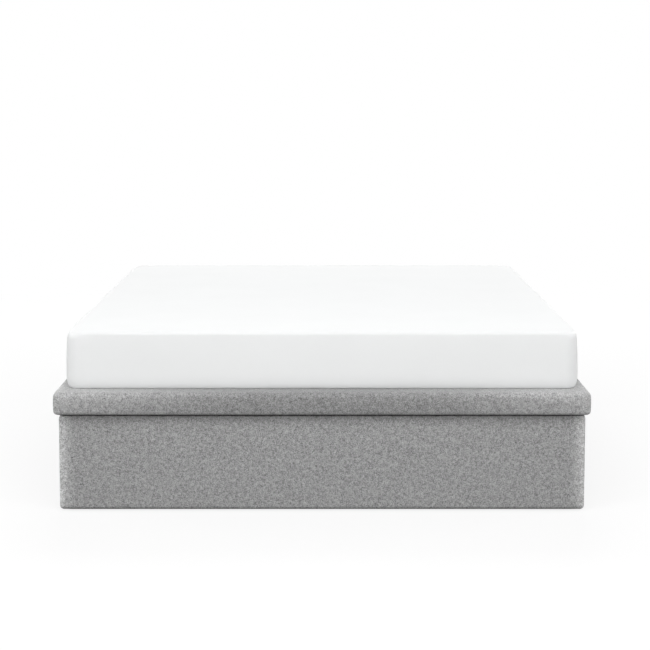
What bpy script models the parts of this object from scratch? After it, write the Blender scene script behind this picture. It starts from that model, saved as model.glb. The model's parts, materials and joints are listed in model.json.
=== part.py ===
"""Upholstered ottoman storage bed.

A fabric covered box stands on the floor. A padded lid with a mattress on it closes the box and lifts at the
foot end, on a pair of four bar linkages with gas springs. Metres, +Z up, +Y towards the head end, and the
origin on the floor under the middle of the box.
"""

import math

import bmesh
import bpy
from mathutils import Vector

BED_NAME = "storage_bed"
SIDES = (("left", -1), ("right", 1))
ENDS = (("foot", -1), ("head", 1))

# Gap between pieces that touch, and the extra radius of a hole round its pin or bolt
CLEAR = 0.0003
HOLE_FIT = 0.0004

# Mattress
MATTRESS_WIDTH = 1.500
MATTRESS_LENGTH = 1.900
MATTRESS_THICKNESS = 0.164
MATTRESS_SHIFT = 0.0165
MATTRESS_CORNER = 0.040
MATTRESS_TOP_ROLL = 0.014
MATTRESS_BOTTOM_ROLL = 0.014
MATTRESS_BULGE_HEIGHT = 0.045
MATTRESS_DRAW_IN = 0.005
MATTRESS_CROWN = 0.004
MATTRESS_BOW = 0.002
MATTRESS_BOW_RUN = 0.300
MATTRESS_SIDE_STEPS = 4
CROWN_INSETS = (0.090, 0.260, 0.520)

# Box: what it shows, and the layers behind the fabric
BOX_SIDE_MARGIN = 0.014
BOX_END_MARGIN = 0.030
BOX_TOP = 0.2835
BOX_EDGE_RADIUS = 0.011
EDGE_PULL = 0.0025
EDGE_PULL_RUN = 0.045
FABRIC = 0.002
WADDING = 0.005
WADDING_EDGE_ANGLE = math.radians(40)
BOARD = 0.016
BOARD_EDGE_RADIUS = 0.007
COVER_FLAP_DROP = 0.030
COVER_FOLD_CORNER = 0.003
GLIDE_HEIGHT = 0.0037
GLIDE_RADIUS = 0.0075
GLIDE_INSET = 0.110
POST = 0.040
POST_BEVEL = 0.010
POST_BELOW_FLAP = 0.0035

# Floor of the box
CLEAT_WIDTH = 0.020
FLOOR_UNDERSIDE = 0.0208
FLOOR_THICKNESS = 0.005
BEAM_WIDTH = 0.060
BEAM_EDGE = 0.003

# Lid
LID_OVERHANG = 0.0135
LID_THICKNESS = 0.066
LID_CORNER = 0.018
LID_TOP_EDGE = 0.013
LID_BOTTOM_EDGE = 0.010
LID_PULL = 0.002
LID_FLAT_INSET = 0.080
LID_FLANGE_WIDTH = 0.095
FRAME_INSET = 0.0575
FOAM_EDGE_ANGLE_STEPS = 3
TUBE = 0.030
TUBE_WALL = 0.0015
TUBE_EDGE = 0.003
CROSS_TUBE_SPACING = 0.460
DECK_THICKNESS = 0.008
CLOTH_THICKNESS = 0.0012

# Lift linkage: pivots measured from the head board's inner face, down from the box's top or up from its floor
LIFT_PIVOT_BACK = 0.4107
LIFT_PIVOT_DOWN = 0.0836
LIFT_LID_PIVOT_BACK = 0.0867
LIFT_LID_PIVOT_DOWN = 0.0292
GUIDE_PIVOT_BACK = 0.6430
GUIDE_LID_PIVOT_BACK = 0.1555
GUIDE_LID_PIVOT_DOWN = 0.1031
SPRING_PIVOT_BACK = 0.3564
LOW_PIVOT_RISE = 0.0242
SPRING_ALONG_ARM = 0.185

# Lift linkage: plates, pins and bolts
BASE_PLATE = 0.004
ARM_THICKNESS = 0.005
BRACKET_PLATE = 0.004
COLLAR_GAP = 0.002
SPRING_GAP = 0.0025
ARM_HALF_WIDTH = 0.018
BRACKET_LOW_RADIUS = 0.015
BRACKET_PIVOT_RADIUS = 0.017
BRACKET_FRONT = 0.045
BRACKET_REAR = 0.030
BRACKET_CORNER = 0.003
BRACKET_FLANGE_WIDTH = 0.037
BRACKET_BOLT_INSET = 0.014
FLANGE_STEP = 0.001
PIN_RADIUS = 0.005
PIN_HEAD_RADIUS = 0.009
PIN_HEAD = 0.003
PIN_THIN_HEAD = 0.0017
SPACER_RADIUS = 0.0075
OPEN_PIVOT_FIT = 0.0017
OPEN_PIVOT_HEAD_RADIUS = 0.0105
BOLT_RADIUS = 0.003
BOLT_HEAD_RADIUS = 0.0065
BOLT_HEAD = 0.0025
BOLT_GRIP = 0.010
HOLE_SEGMENTS = 20
PIN_SEGMENTS = 16
ARC_STEP = math.radians(20)
PLATE_BOLT_SHARES = (0.50, 0.62)

# Gas spring
CYLINDER_RADIUS = 0.011
CYLINDER_BORE = 0.0095
CYLINDER_MOUTH = 0.006
CYLINDER_MOUTH_WALL = 0.003
CYLINDER_CHAMFER = 0.001
ROD_RADIUS = 0.004
ROD_SHOWN = 0.031
PISTON_RADIUS = 0.0075
PISTON_LENGTH = 0.008
PISTON_REST = 0.056
EYE_RADIUS = 0.010
EYE_WIDTH = 0.010
NECK_RADIUS = 0.0048
NECK_START = 0.007
NECK_END = 0.016
CYLINDER_FLOOR = 0.004
SPRING_SEGMENTS = 16
STUD_RADIUS = 0.008

# Outline sampling, and how far a cutter overruns the piece that it cuts
CORNER_STEPS = 4
EDGE_STEPS = 4
OVERRUN = 0.010

# Places worked out from the sizes above
BOX_HALF_X = MATTRESS_WIDTH / 2 + BOX_SIDE_MARGIN
BOX_HALF_Y = MATTRESS_LENGTH / 2 + BOX_END_MARGIN
BOX_BOTTOM = GLIDE_HEIGHT + CLEAR
WADDING_OUT = FABRIC + CLEAR
WADDING_IN = WADDING_OUT + WADDING
BOARD_OUT = WADDING_IN + CLEAR
BOARD_IN = BOARD_OUT + BOARD
INNER_X = BOX_HALF_X - BOARD_IN
INNER_Y = BOX_HALF_Y - BOARD_IN
BOARD_BOTTOM = BOX_BOTTOM + FABRIC + CLEAR
BOARD_TOP = BOX_TOP - FABRIC - CLEAR
FLAP_BOTTOM = BOX_TOP - COVER_FLAP_DROP
POST_TOP = FLAP_BOTTOM - POST_BELOW_FLAP
FLOOR_TOP = FLOOR_UNDERSIDE + FLOOR_THICKNESS

LID_HALF_X = BOX_HALF_X + LID_OVERHANG
LID_HALF_Y = BOX_HALF_Y + LID_OVERHANG
LID_BOTTOM = BOX_TOP + CLEAR
LID_TOP = LID_BOTTOM + LID_THICKNESS
FRAME_HALF_X = LID_HALF_X - FRAME_INSET
FRAME_HALF_Y = LID_HALF_Y - FRAME_INSET
TUBE_BOTTOM = LID_BOTTOM + FABRIC + CLEAR
TUBE_TOP = TUBE_BOTTOM + TUBE
SIDE_TUBE_X = FRAME_HALF_X - TUBE / 2
DECK_BOTTOM = TUBE_TOP + CLEAR
DECK_TOP = DECK_BOTTOM + DECK_THICKNESS
MATTRESS_BOTTOM = LID_TOP + CLEAR

# Layers of the linkage, from the side board's inner face inwards
PLATE_OUTER = INNER_X - CLEAR
PLATE_INNER = PLATE_OUTER - BASE_PLATE
ARM_OUTER = PLATE_INNER - COLLAR_GAP
ARM_INNER = ARM_OUTER - ARM_THICKNESS
BRACKET_OUTER = ARM_INNER - COLLAR_GAP
BRACKET_INNER = BRACKET_OUTER - BRACKET_PLATE
SPRING_X = BRACKET_INNER - SPRING_GAP - CYLINDER_RADIUS
GUIDE_OUTER = SPRING_X - CYLINDER_RADIUS - SPRING_GAP

# Pivots in the side view, as vectors of Y and Z
LIFT_PIVOT = Vector((INNER_Y - LIFT_PIVOT_BACK, BOX_TOP - LIFT_PIVOT_DOWN))
LIFT_LID_PIVOT = Vector((INNER_Y - LIFT_LID_PIVOT_BACK, BOX_TOP - LIFT_LID_PIVOT_DOWN))
GUIDE_PIVOT = Vector((INNER_Y - GUIDE_PIVOT_BACK, FLOOR_TOP + LOW_PIVOT_RISE))
GUIDE_LID_PIVOT = Vector((INNER_Y - GUIDE_LID_PIVOT_BACK, BOX_TOP - GUIDE_LID_PIVOT_DOWN))
SPRING_PIVOT = Vector((INNER_Y - SPRING_PIVOT_BACK, FLOOR_TOP + LOW_PIVOT_RISE))
ARM_DIRECTION = (LIFT_LID_PIVOT - LIFT_PIVOT).normalized()
SPRING_ARM_PIVOT = LIFT_PIVOT + ARM_DIRECTION * SPRING_ALONG_ARM
SPRING_LINE = SPRING_ARM_PIVOT - SPRING_PIVOT
SPRING_ANGLE = math.atan2(SPRING_LINE.y, SPRING_LINE.x)
CYLINDER_LENGTH = SPRING_LINE.length - ROD_SHOWN
ROD_LENGTH = SPRING_LINE.length - PISTON_REST
BRACKET_TOP = LID_BOTTOM - CLEAR
BRACKET_FRONT_Y = GUIDE_LID_PIVOT.x - BRACKET_FRONT
BRACKET_REAR_Y = LIFT_LID_PIVOT.x + BRACKET_REAR

# Turns a flat outline, drawn as Y and Z, to face along X, and a turned piece's axis to the side it is on
FACE_X = (math.radians(90), 0, math.radians(90))
ALONG_X = {1: (0, math.radians(90), 0), -1: (0, math.radians(-90), 0)}


def clear_scene():
    """Remove every object that the file starts with."""
    for item in list(bpy.data.objects):
        bpy.data.objects.remove(item, do_unlink=True)


def new_collection(name):
    """Make a collection in the scene."""
    collection = bpy.data.collections.new(name)
    bpy.context.scene.collection.children.link(collection)
    return collection


def new_material(name, colour, roughness, metallic=0.0):
    """Make a Principled material from a linear colour."""
    material = bpy.data.materials.new(name)
    material.use_nodes = True
    shader = material.node_tree.nodes["Principled BSDF"]
    shader.inputs["Base Color"].default_value = (*colour, 1)
    shader.inputs["Roughness"].default_value = roughness
    shader.inputs["Metallic"].default_value = metallic
    material.diffuse_color = (*colour, 1)
    return material


def new_empty(name, collection, place, parent=None):
    """Put an empty at a world place, on a joint's axis."""
    empty = bpy.data.objects.new(name, None)
    collection.objects.link(empty)
    attach(empty, place, parent)
    return empty


def world_place(item):
    """World place of an object whose parents only carry locations."""
    place = Vector(item.location)
    while item.parent:
        item = item.parent
        place += item.location
    return place


def attach(item, place, parent):
    """Place an object in world coordinates under its parent."""
    item.parent = parent
    item.location = Vector(place) - (world_place(parent) if parent else Vector())


def object_from_bmesh(name, shape, collection, material=None):
    """Turn a bmesh into an object."""
    mesh = bpy.data.meshes.new(name)
    shape.to_mesh(mesh)
    shape.free()
    if material:
        mesh.materials.append(material)
    item = bpy.data.objects.new(name, mesh)
    collection.objects.link(item)
    return item


def cuboid(name, size, collection, material=None, edges=None, radius=0, segments=3):
    """Make a box about its own centre; edges picks, from an edge's two ends, those to round."""
    shape = bmesh.new()
    bmesh.ops.create_cube(shape, size=1)
    bmesh.ops.scale(shape, vec=size, verts=shape.verts)
    if edges:
        picked = [edge for edge in shape.edges if edges(edge.verts[0].co, edge.verts[1].co)]
        bmesh.ops.bevel(shape, geom=picked, offset=radius, segments=segments, profile=0.5, affect="EDGES")
    return object_from_bmesh(name, shape, collection, material)


def cylinder(name, radius, length, segments, collection, rotation=(0, 0, 0)):
    """Make a plain cylinder about its own centre."""
    shape = bmesh.new()
    bmesh.ops.create_cone(
        shape, cap_ends=True, segments=segments, radius1=radius, radius2=radius, depth=length
    )
    item = object_from_bmesh(name, shape, collection)
    item.rotation_euler = rotation
    return item


def turned(name, profile, segments, collection, material=None, rotation=(0, 0, 0)):
    """Turn a profile of radius and height about the Z axis with a Screw modifier."""
    shape = bmesh.new()
    points = [shape.verts.new((radius, 0, height)) for radius, height in profile]
    for first, second in zip(points, points[1:]):
        shape.edges.new((first, second))
    item = object_from_bmesh(name, shape, collection, material)
    screw = item.modifiers.new("turn", "SCREW")
    screw.steps = segments
    screw.render_steps = segments
    screw.use_merge_vertices = True
    screw.merge_threshold = CLEAR / 10
    screw.use_smooth_shade = False
    item.rotation_euler = rotation
    return item


def stepped_profile(steps, top=0):
    """Profile of a pin from its outer end down, as pairs of radius and length."""
    profile = [(0, top)]
    height = top
    for radius, length in steps:
        profile.append((radius, height))
        height -= length
        profile.append((radius, height))
    profile.append((0, height))
    return profile


def circle(centre, radius, segments=HOLE_SEGMENTS):
    """Points round a circle in a flat outline."""
    turns = [2 * math.pi * step / segments for step in range(segments)]
    return [(centre[0] + radius * math.cos(turn), centre[1] + radius * math.sin(turn)) for turn in turns]


def hull_outline(discs):
    """Outline drawn tightly round discs of centre and radius, given anticlockwise."""
    normals = []
    for index, (centre, radius) in enumerate(discs):
        after_centre, after_radius = discs[(index + 1) % len(discs)]
        step = Vector(after_centre) - Vector(centre)
        normals.append(math.atan2(step.y, step.x) - math.acos((radius - after_radius) / step.length))
    points = []
    for index, (centre, radius) in enumerate(discs):
        start = normals[index - 1]
        sweep = (normals[index] - start) % (2 * math.pi)
        count = max(1, math.ceil(sweep / ARC_STEP))
        for step in range(count + 1):
            turn = start + sweep * step / count
            points.append((centre[0] + radius * math.cos(turn), centre[1] + radius * math.sin(turn)))
    return points


def flat_piece(name, outlines, thickness, collection, material, rotation=(0, 0, 0)):
    """Extrude flat outlines, holes included, to a thickness about their plane, as a mesh."""
    curve = bpy.data.curves.new(name, "CURVE")
    curve.dimensions = "2D"
    curve.fill_mode = "BOTH"
    curve.extrude = thickness / 2
    for outline in outlines:
        spline = curve.splines.new("POLY")
        spline.points.add(len(outline) - 1)
        for point, place in zip(spline.points, outline):
            point.co = (place[0], place[1], 0, 1)
        spline.use_cyclic_u = True
    drawn = bpy.data.objects.new(name, curve)
    collection.objects.link(drawn)
    drawn.rotation_euler = rotation
    bpy.context.view_layer.update()
    evaluated = drawn.evaluated_get(bpy.context.evaluated_depsgraph_get())
    mesh = bpy.data.meshes.new_from_object(evaluated)
    shape = bmesh.new()
    shape.from_mesh(mesh)
    bmesh.ops.remove_doubles(shape, verts=shape.verts, dist=CLEAR / 10)
    bmesh.ops.recalc_face_normals(shape, faces=shape.faces)
    shape.to_mesh(mesh)
    shape.free()
    mesh.materials.clear()
    mesh.materials.append(material)
    matrix = drawn.matrix_world.copy()
    bpy.data.objects.remove(drawn, do_unlink=True)
    piece = bpy.data.objects.new(name, mesh)
    collection.objects.link(piece)
    piece.matrix_world = matrix
    return piece


def boolean(item, tool, operation, place):
    """Cut a piece with a tool, or join the tool to it, and hide the tool."""
    tool.location = place
    tool.hide_render = True
    tool.display_type = "WIRE"
    modifier = item.modifiers.new(tool.name, "BOOLEAN")
    modifier.operation = operation
    modifier.object = tool
    modifier.solver = "EXACT"


def rounded_outline(half_x, half_y, corner, pull, run):
    """Rounded rectangle, anticlockwise, whose corners are pulled in over a run along each side."""
    points = []
    for quarter in range(4):
        half_u, half_v = (half_x, half_y) if quarter % 2 == 0 else (half_y, half_x)
        eased = pull * ((run / 2) / run) ** 2
        places = [(half_u, half_v - run), (half_u - eased, half_v - run / 2)]
        for step in range(CORNER_STEPS + 1):
            turn = math.radians(90) * step / CORNER_STEPS
            places.append(
                (
                    half_u - pull - corner + corner * math.cos(turn),
                    half_v - pull - corner + corner * math.sin(turn),
                )
            )
        places += [(half_u - run / 2, half_v - eased), (half_u - run, half_v)]
        turn = math.radians(90) * quarter
        for u, v in places:
            points.append((u * math.cos(turn) - v * math.sin(turn), u * math.sin(turn) + v * math.cos(turn)))
    return points


def loft(name, rings, collection, material, closed=False):
    """Skin a row of rings with equal counts: capped at both ends, or closed on itself."""
    shape = bmesh.new()
    rows = [[shape.verts.new(point) for point in ring] for ring in rings]
    pairs = list(zip(rows, rows[1:]))
    if closed:
        pairs.append((rows[-1], rows[0]))
    else:
        shape.faces.new(rows[0])
        shape.faces.new(rows[-1])
    for lower, upper in pairs:
        for index in range(len(lower)):
            after = (index + 1) % len(lower)
            shape.faces.new((lower[index], lower[after], upper[after], upper[index]))
    bmesh.ops.recalc_face_normals(shape, faces=shape.faces)
    return object_from_bmesh(name, shape, collection, material)


def ring_at(half_x, half_y, inset, height, corner, pull, run):
    """One ring of a loft, at an inset from the half sizes, and with the corner that the inset leaves."""
    left = max(corner - inset, COVER_FOLD_CORNER)
    outline = rounded_outline(half_x - inset, half_y - inset, left, pull, run)
    return [(x, y, height) for x, y in outline]


def edge_arc(edge, layer, level, sign, steps=EDGE_STEPS, sweep=math.radians(90)):
    """Inset and height of points round an edge, from the vertical face to the flat one.

    edge is the outer surface's radius, layer is how far below it the points lie, and level is the height of
    the outer flat face, above the arc where sign is 1 and below it where sign is -1.
    """
    radius = edge - layer
    centre = level - sign * edge
    turns = [sweep * step / steps for step in range(steps + 1)]
    return [(edge - radius * math.cos(turn), centre + sign * radius * math.sin(turn)) for turn in turns]


def make_materials():
    """Materials by the name of their finish."""
    return {
        "grey_weave": new_material("grey woven fabric", (0.300, 0.300, 0.300), 0.92),
        "white_knit": new_material("white knitted fabric", (0.860, 0.860, 0.850), 0.88),
        "wadding": new_material("white wadding", (0.720, 0.720, 0.700), 0.95),
        "foam": new_material("cream foam", (0.760, 0.700, 0.540), 0.95),
        "particle_board": new_material("bare board", (0.480, 0.350, 0.210), 0.80),
        "pine": new_material("pine", (0.560, 0.390, 0.210), 0.70),
        "floor_board": new_material("grey faced board", (0.230, 0.230, 0.235), 0.65),
        "under_cloth": new_material("black non woven cloth", (0.030, 0.030, 0.032), 0.95),
        "black_steel": new_material("black coated steel", (0.020, 0.020, 0.021), 0.45, 0.60),
        "zinc_steel": new_material("zinc plated steel", (0.560, 0.560, 0.550), 0.35, 1.0),
        "chrome_steel": new_material("ground steel", (0.640, 0.640, 0.640), 0.15, 1.0),
        "felt": new_material("grey felt", (0.180, 0.180, 0.180), 0.95),
    }


def make_boards(parts, cutters, materials, root):
    """Four boards of the box: the end boards cover the side boards' ends."""
    height = BOARD_TOP - BOARD_BOTTOM
    middle = (BOARD_TOP + BOARD_BOTTOM) / 2
    for end, sign in ENDS:
        board = cuboid(
            f"{end}_board",
            (2 * (BOX_HALF_X - BOARD_OUT), BOARD, height),
            parts,
            materials["particle_board"],
            edges=lambda one, two, sign=sign: one.y * sign > 0 or two.y * sign > 0,
            radius=BOARD_EDGE_RADIUS,
        )
        attach(board, (0, sign * (INNER_Y + BOARD / 2), middle), root)
    for side, sign in SIDES:
        board = cuboid(
            f"side_board_{side}",
            (BOARD, 2 * (INNER_Y - CLEAR), height),
            parts,
            materials["particle_board"],
            edges=lambda one, two, sign=sign: one.x * sign > 0 and two.x * sign > 0 and one.z == two.z,
            radius=BOARD_EDGE_RADIUS,
        )
        attach(board, (sign * (INNER_X + BOARD / 2), 0, middle), root)
        for number, place in enumerate(plate_bolt_places(), 1):
            depth = BOLT_GRIP + CLEAR + OVERRUN
            name = f"board_drill_{side}_{number}"
            drill = cylinder(name, BOLT_RADIUS + HOLE_FIT, depth, HOLE_SEGMENTS, cutters, ALONG_X[1])
            boolean(board, drill, "DIFFERENCE", (sign * (INNER_X - OVERRUN + depth / 2), *place))


def make_posts(parts, materials, root):
    """A square post inside each corner, with the edge that faces the storage space rounded."""
    height = POST_TOP - BOARD_BOTTOM
    for end, along in ENDS:
        for side, across in SIDES:
            post = cuboid(
                f"corner_post_{end}_{side}",
                (POST, POST, height),
                parts,
                materials["pine"],
                edges=lambda one, two, across=across, along=along: (
                    one.x * across < 0 and two.x * across < 0 and one.y * along < 0 and two.y * along < 0
                ),
                radius=POST_BEVEL,
            )
            reach = CLEAR + POST / 2
            place = (across * (INNER_X - reach), along * (INNER_Y - reach), BOARD_BOTTOM + height / 2)
            attach(post, place, root)


def make_box_cover(parts, materials, root):
    """Fabric round the boards, turned in over their top as a flap and under their bottom edge."""
    bottom_out = edge_arc(BOX_EDGE_RADIUS, 0, BOX_BOTTOM, -1)
    bottom_in = edge_arc(BOX_EDGE_RADIUS, FABRIC, BOX_BOTTOM, -1)
    top_out = edge_arc(BOX_EDGE_RADIUS, 0, BOX_TOP, 1)
    top_in = edge_arc(BOX_EDGE_RADIUS, FABRIC, BOX_TOP, 1)
    flap_back = BOARD_IN + CLEAR
    flap_front = flap_back + FABRIC
    folded = [
        (flap_front - FABRIC, BOX_TOP),
        (flap_front, BOX_TOP - FABRIC),
        (flap_front, FLAP_BOTTOM),
        (flap_back, FLAP_BOTTOM),
        (flap_back, BOX_TOP - FABRIC),
    ]
    under_out = [(BOARD_IN, BOX_BOTTOM)]
    under_in = [(BOARD_IN, BOX_BOTTOM + FABRIC)]
    pulled = under_out + bottom_out[::-1] + top_out + folded + top_in[::-1] + bottom_in + under_in
    rings = []
    for inset, height in pulled:
        pull = EDGE_PULL if inset <= BOX_EDGE_RADIUS else 0
        rings.append(ring_at(BOX_HALF_X, BOX_HALF_Y, inset, height, BOX_EDGE_RADIUS, pull, EDGE_PULL_RUN))
    cover = loft("box_cover", rings, parts, materials["grey_weave"], closed=True)
    attach(cover, (0, 0, 0), root)


def make_box_wadding(parts, materials, root):
    """Wadding between the boards and the fabric, thinned to the boards' edges."""
    bottom = edge_arc(BOX_EDGE_RADIUS, WADDING_OUT, BOX_BOTTOM, -1, sweep=WADDING_EDGE_ANGLE)
    top = edge_arc(BOX_EDGE_RADIUS, WADDING_OUT, BOX_TOP, 1, sweep=WADDING_EDGE_ANGLE)
    half = (BOX_HALF_X, BOX_HALF_Y)
    rings = []
    for inset, height in bottom[::-1] + top:
        rings.append(ring_at(*half, inset, height, BOX_EDGE_RADIUS, EDGE_PULL, EDGE_PULL_RUN))
    for height in (top[-1][1], bottom[-1][1]):
        outline = rounded_outline(
            BOX_HALF_X - WADDING_IN, BOX_HALF_Y - WADDING_IN, BOARD_EDGE_RADIUS, 0, EDGE_PULL_RUN
        )
        rings.append([(x, y, height) for x, y in outline])
    wadding = loft("box_wadding", rings, parts, materials["wadding"], closed=True)
    attach(wadding, (0, 0, 0), root)


def make_floor(parts, materials, root):
    """Cleats, a beam across the middle that stands on the floor, and two panels notched for the posts."""
    cleat_top = FLOOR_UNDERSIDE - CLEAR
    post_reach = INNER_Y - 2 * CLEAR - POST
    for side, sign in SIDES:
        size = (CLEAT_WIDTH, 2 * post_reach, cleat_top - BOARD_BOTTOM)
        cleat = cuboid(f"floor_cleat_{side}", size, parts, materials["pine"])
        place = (sign * (INNER_X - CLEAR - CLEAT_WIDTH / 2), 0, (cleat_top + BOARD_BOTTOM) / 2)
        attach(cleat, place, root)
    beam_half = INNER_X - 2 * CLEAR - CLEAT_WIDTH
    beam = cuboid(
        "floor_beam",
        (2 * beam_half, BEAM_WIDTH, cleat_top),
        parts,
        materials["pine"],
        edges=lambda one, two: one.z < 0 and two.z < 0 and one.y == two.y,
        radius=BEAM_EDGE,
        segments=2,
    )
    attach(beam, (0, 0, cleat_top / 2), root)
    wide = INNER_X - CLEAR
    narrow = INNER_X - 2 * CLEAR - POST
    for end, sign in ENDS:
        near = CLEAR / 2
        far = INNER_Y - CLEAR
        outline = [
            (-wide, near),
            (wide, near),
            (wide, post_reach),
            (narrow, post_reach),
            (narrow, far),
            (-narrow, far),
            (-narrow, post_reach),
            (-wide, post_reach),
        ]
        places = [(x, sign * y) for x, y in outline]
        panel = flat_piece(f"floor_panel_{end}", [places], FLOOR_THICKNESS, parts, materials["floor_board"])
        attach(panel, (0, 0, FLOOR_UNDERSIDE + FLOOR_THICKNESS / 2), root)


def make_glides(parts, materials, root):
    """Round felt glides under the side boards, near their ends."""
    for end, along in ENDS:
        for side, across in SIDES:
            glide = cylinder(f"glide_{end}_{side}", GLIDE_RADIUS, GLIDE_HEIGHT, PIN_SEGMENTS, parts)
            glide.data.materials.append(materials["felt"])
            place = (across * (INNER_X + BOARD / 2), along * (INNER_Y - GLIDE_INSET), GLIDE_HEIGHT / 2)
            attach(glide, place, root)


def make_lid_pad(parts, materials, lid):
    """Fabric round the lid, the foam under it and the cloth that closes the lid's underside."""
    half = (LID_HALF_X, LID_HALF_Y)
    top_out = edge_arc(LID_TOP_EDGE, 0, LID_TOP, 1)
    top_in = edge_arc(LID_TOP_EDGE, FABRIC, LID_TOP, 1)
    bottom_out = edge_arc(LID_BOTTOM_EDGE, 0, LID_BOTTOM, -1)
    bottom_in = edge_arc(LID_BOTTOM_EDGE, FABRIC, LID_BOTTOM, -1)
    outer = [(LID_FLAT_INSET, LID_TOP)] + top_out[::-1] + bottom_out + [(LID_FLANGE_WIDTH, LID_BOTTOM)]
    inner = [(LID_FLANGE_WIDTH, LID_BOTTOM + FABRIC)] + bottom_in[::-1] + top_in
    inner.append((LID_FLAT_INSET, LID_TOP - FABRIC))
    rings = []
    for inset, height in outer + inner:
        pull = LID_PULL if inset < LID_FLAT_INSET else 0
        rings.append(ring_at(*half, inset, height, LID_CORNER, pull, EDGE_PULL_RUN))
    cover = loft("lid_cover", rings, parts, materials["grey_weave"])
    attach(cover, (0, 0, 0), lid)

    layer = FABRIC + CLEAR
    foam_top = edge_arc(LID_TOP_EDGE, layer, LID_TOP, 1, FOAM_EDGE_ANGLE_STEPS)
    foam_bottom = edge_arc(LID_BOTTOM_EDGE, layer, LID_BOTTOM, -1, FOAM_EDGE_ANGLE_STEPS)
    wall = FRAME_INSET - CLEAR
    rings = []
    for inset, height in [(LID_FLAT_INSET, LID_TOP - layer)] + foam_top[::-1] + foam_bottom:
        pull = LID_PULL if inset < LID_FLAT_INSET else 0
        rings.append(ring_at(*half, inset, height, LID_CORNER, pull, EDGE_PULL_RUN))
    outline = rounded_outline(LID_HALF_X - wall, LID_HALF_Y - wall, CLEAR, 0, EDGE_PULL_RUN)
    for height in (LID_BOTTOM + layer, DECK_TOP + CLEAR):
        rings.append([(x, y, height) for x, y in outline])
    foam = loft("lid_foam", rings, parts, materials["foam"])
    attach(foam, (0, 0, 0), lid)

    edge = LID_FLANGE_WIDTH + CLEAR
    cloth_top = TUBE_BOTTOM - CLEAR
    corner = COVER_FOLD_CORNER + CLEAR
    outline = rounded_outline(LID_HALF_X - edge, LID_HALF_Y - edge, corner, 0, EDGE_PULL_RUN)
    rings = [[(x, y, height) for x, y in outline] for height in (cloth_top - CLOTH_THICKNESS, cloth_top)]
    cloth = loft("lid_under_cloth", rings, parts, materials["under_cloth"])
    attach(cloth, (0, 0, 0), lid)


def tube_outlines():
    """Outer and inner outline of the square tube."""
    outlines = []
    for half, corner in ((TUBE / 2, TUBE_EDGE), (TUBE / 2 - TUBE_WALL, TUBE_EDGE - TUBE_WALL)):
        reach = half - corner
        centres = ((-reach, -reach), (reach, -reach), (reach, reach), (-reach, reach))
        outlines.append(hull_outline([(centre, corner) for centre in centres]))
    return outlines


def make_lid_frame(parts, cutters, materials, lid):
    """Welded frame of square steel tube, and the deck board on it."""
    height = TUBE_BOTTOM + TUBE / 2
    length = 2 * FRAME_HALF_Y
    steel = materials["black_steel"]
    for side, sign in SIDES:
        name = f"lid_side_tube_{side}"
        tube = flat_piece(name, tube_outlines(), length, parts, steel, (math.radians(90), 0, 0))
        attach(tube, (sign * SIDE_TUBE_X, 0, height), lid)
        for number, along in enumerate(bracket_bolt_places(), 1):
            name = f"tube_drill_{side}_{number}"
            drill = cylinder(name, BOLT_RADIUS + HOLE_FIT, TUBE, HOLE_SEGMENTS, cutters)
            boolean(tube, drill, "DIFFERENCE", (sign * SIDE_TUBE_X, along, TUBE_BOTTOM))
    end_y = FRAME_HALF_Y - TUBE / 2
    rows = [("lid_foot_tube", -end_y), ("lid_head_tube", end_y)]
    rows += [(f"lid_cross_tube_{number}", (number - 2) * CROSS_TUBE_SPACING) for number in (1, 2, 3)]
    for name, along in rows:
        across = 2 * (FRAME_HALF_X - TUBE - CLEAR)
        tube = flat_piece(name, tube_outlines(), across, parts, steel, FACE_X)
        attach(tube, (0, along, height), lid)
    size = (2 * FRAME_HALF_X, 2 * FRAME_HALF_Y, DECK_THICKNESS)
    deck = cuboid("lid_deck", size, parts, materials["particle_board"])
    attach(deck, (0, 0, DECK_BOTTOM + DECK_THICKNESS / 2), lid)


def make_mattress(parts, materials, lid):
    """Soft block: rolled edges, sides that bulge low down and draw in above, and a low crown."""
    side_low = MATTRESS_BOTTOM_ROLL
    side_high = MATTRESS_THICKNESS - MATTRESS_TOP_ROLL
    profile = []
    for step in range(EDGE_STEPS + 1):
        turn = math.radians(90) * step / EDGE_STEPS
        inset = MATTRESS_BOTTOM_ROLL * (1 - math.sin(turn))
        profile.append((inset, MATTRESS_BOTTOM_ROLL * (1 - math.cos(turn))))
    for step in range(1, MATTRESS_SIDE_STEPS):
        profile.append((0, side_low + (side_high - side_low) * step / MATTRESS_SIDE_STEPS))
    for step in range(EDGE_STEPS + 1):
        turn = math.radians(90) * step / EDGE_STEPS
        inset = MATTRESS_TOP_ROLL * (1 - math.cos(turn))
        profile.append((inset, side_high + MATTRESS_TOP_ROLL * math.sin(turn)))
    rings = []
    half = (MATTRESS_WIDTH / 2, MATTRESS_LENGTH / 2)
    for inset, height in profile:
        rise = max(0, height - MATTRESS_BULGE_HEIGHT) / (MATTRESS_THICKNESS - MATTRESS_BULGE_HEIGHT)
        drawn = inset + MATTRESS_DRAW_IN * rise**2
        rings.append(mattress_ring(half, drawn, height))
    for inset in CROWN_INSETS:
        share = math.sin(math.radians(90) * inset / CROWN_INSETS[-1])
        rings.append(mattress_ring(half, inset, MATTRESS_THICKNESS + MATTRESS_CROWN * share))
    mattress = loft("mattress", rings, parts, materials["white_knit"])
    attach(mattress, (0, MATTRESS_SHIFT, MATTRESS_BOTTOM), lid)


def mattress_ring(half, inset, height):
    """One level outline of the mattress."""
    corner = max(MATTRESS_CORNER - inset, MATTRESS_TOP_ROLL)
    outline = rounded_outline(half[0] - inset, half[1] - inset, corner, MATTRESS_BOW, MATTRESS_BOW_RUN)
    return [(x, y, height) for x, y in outline]


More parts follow.
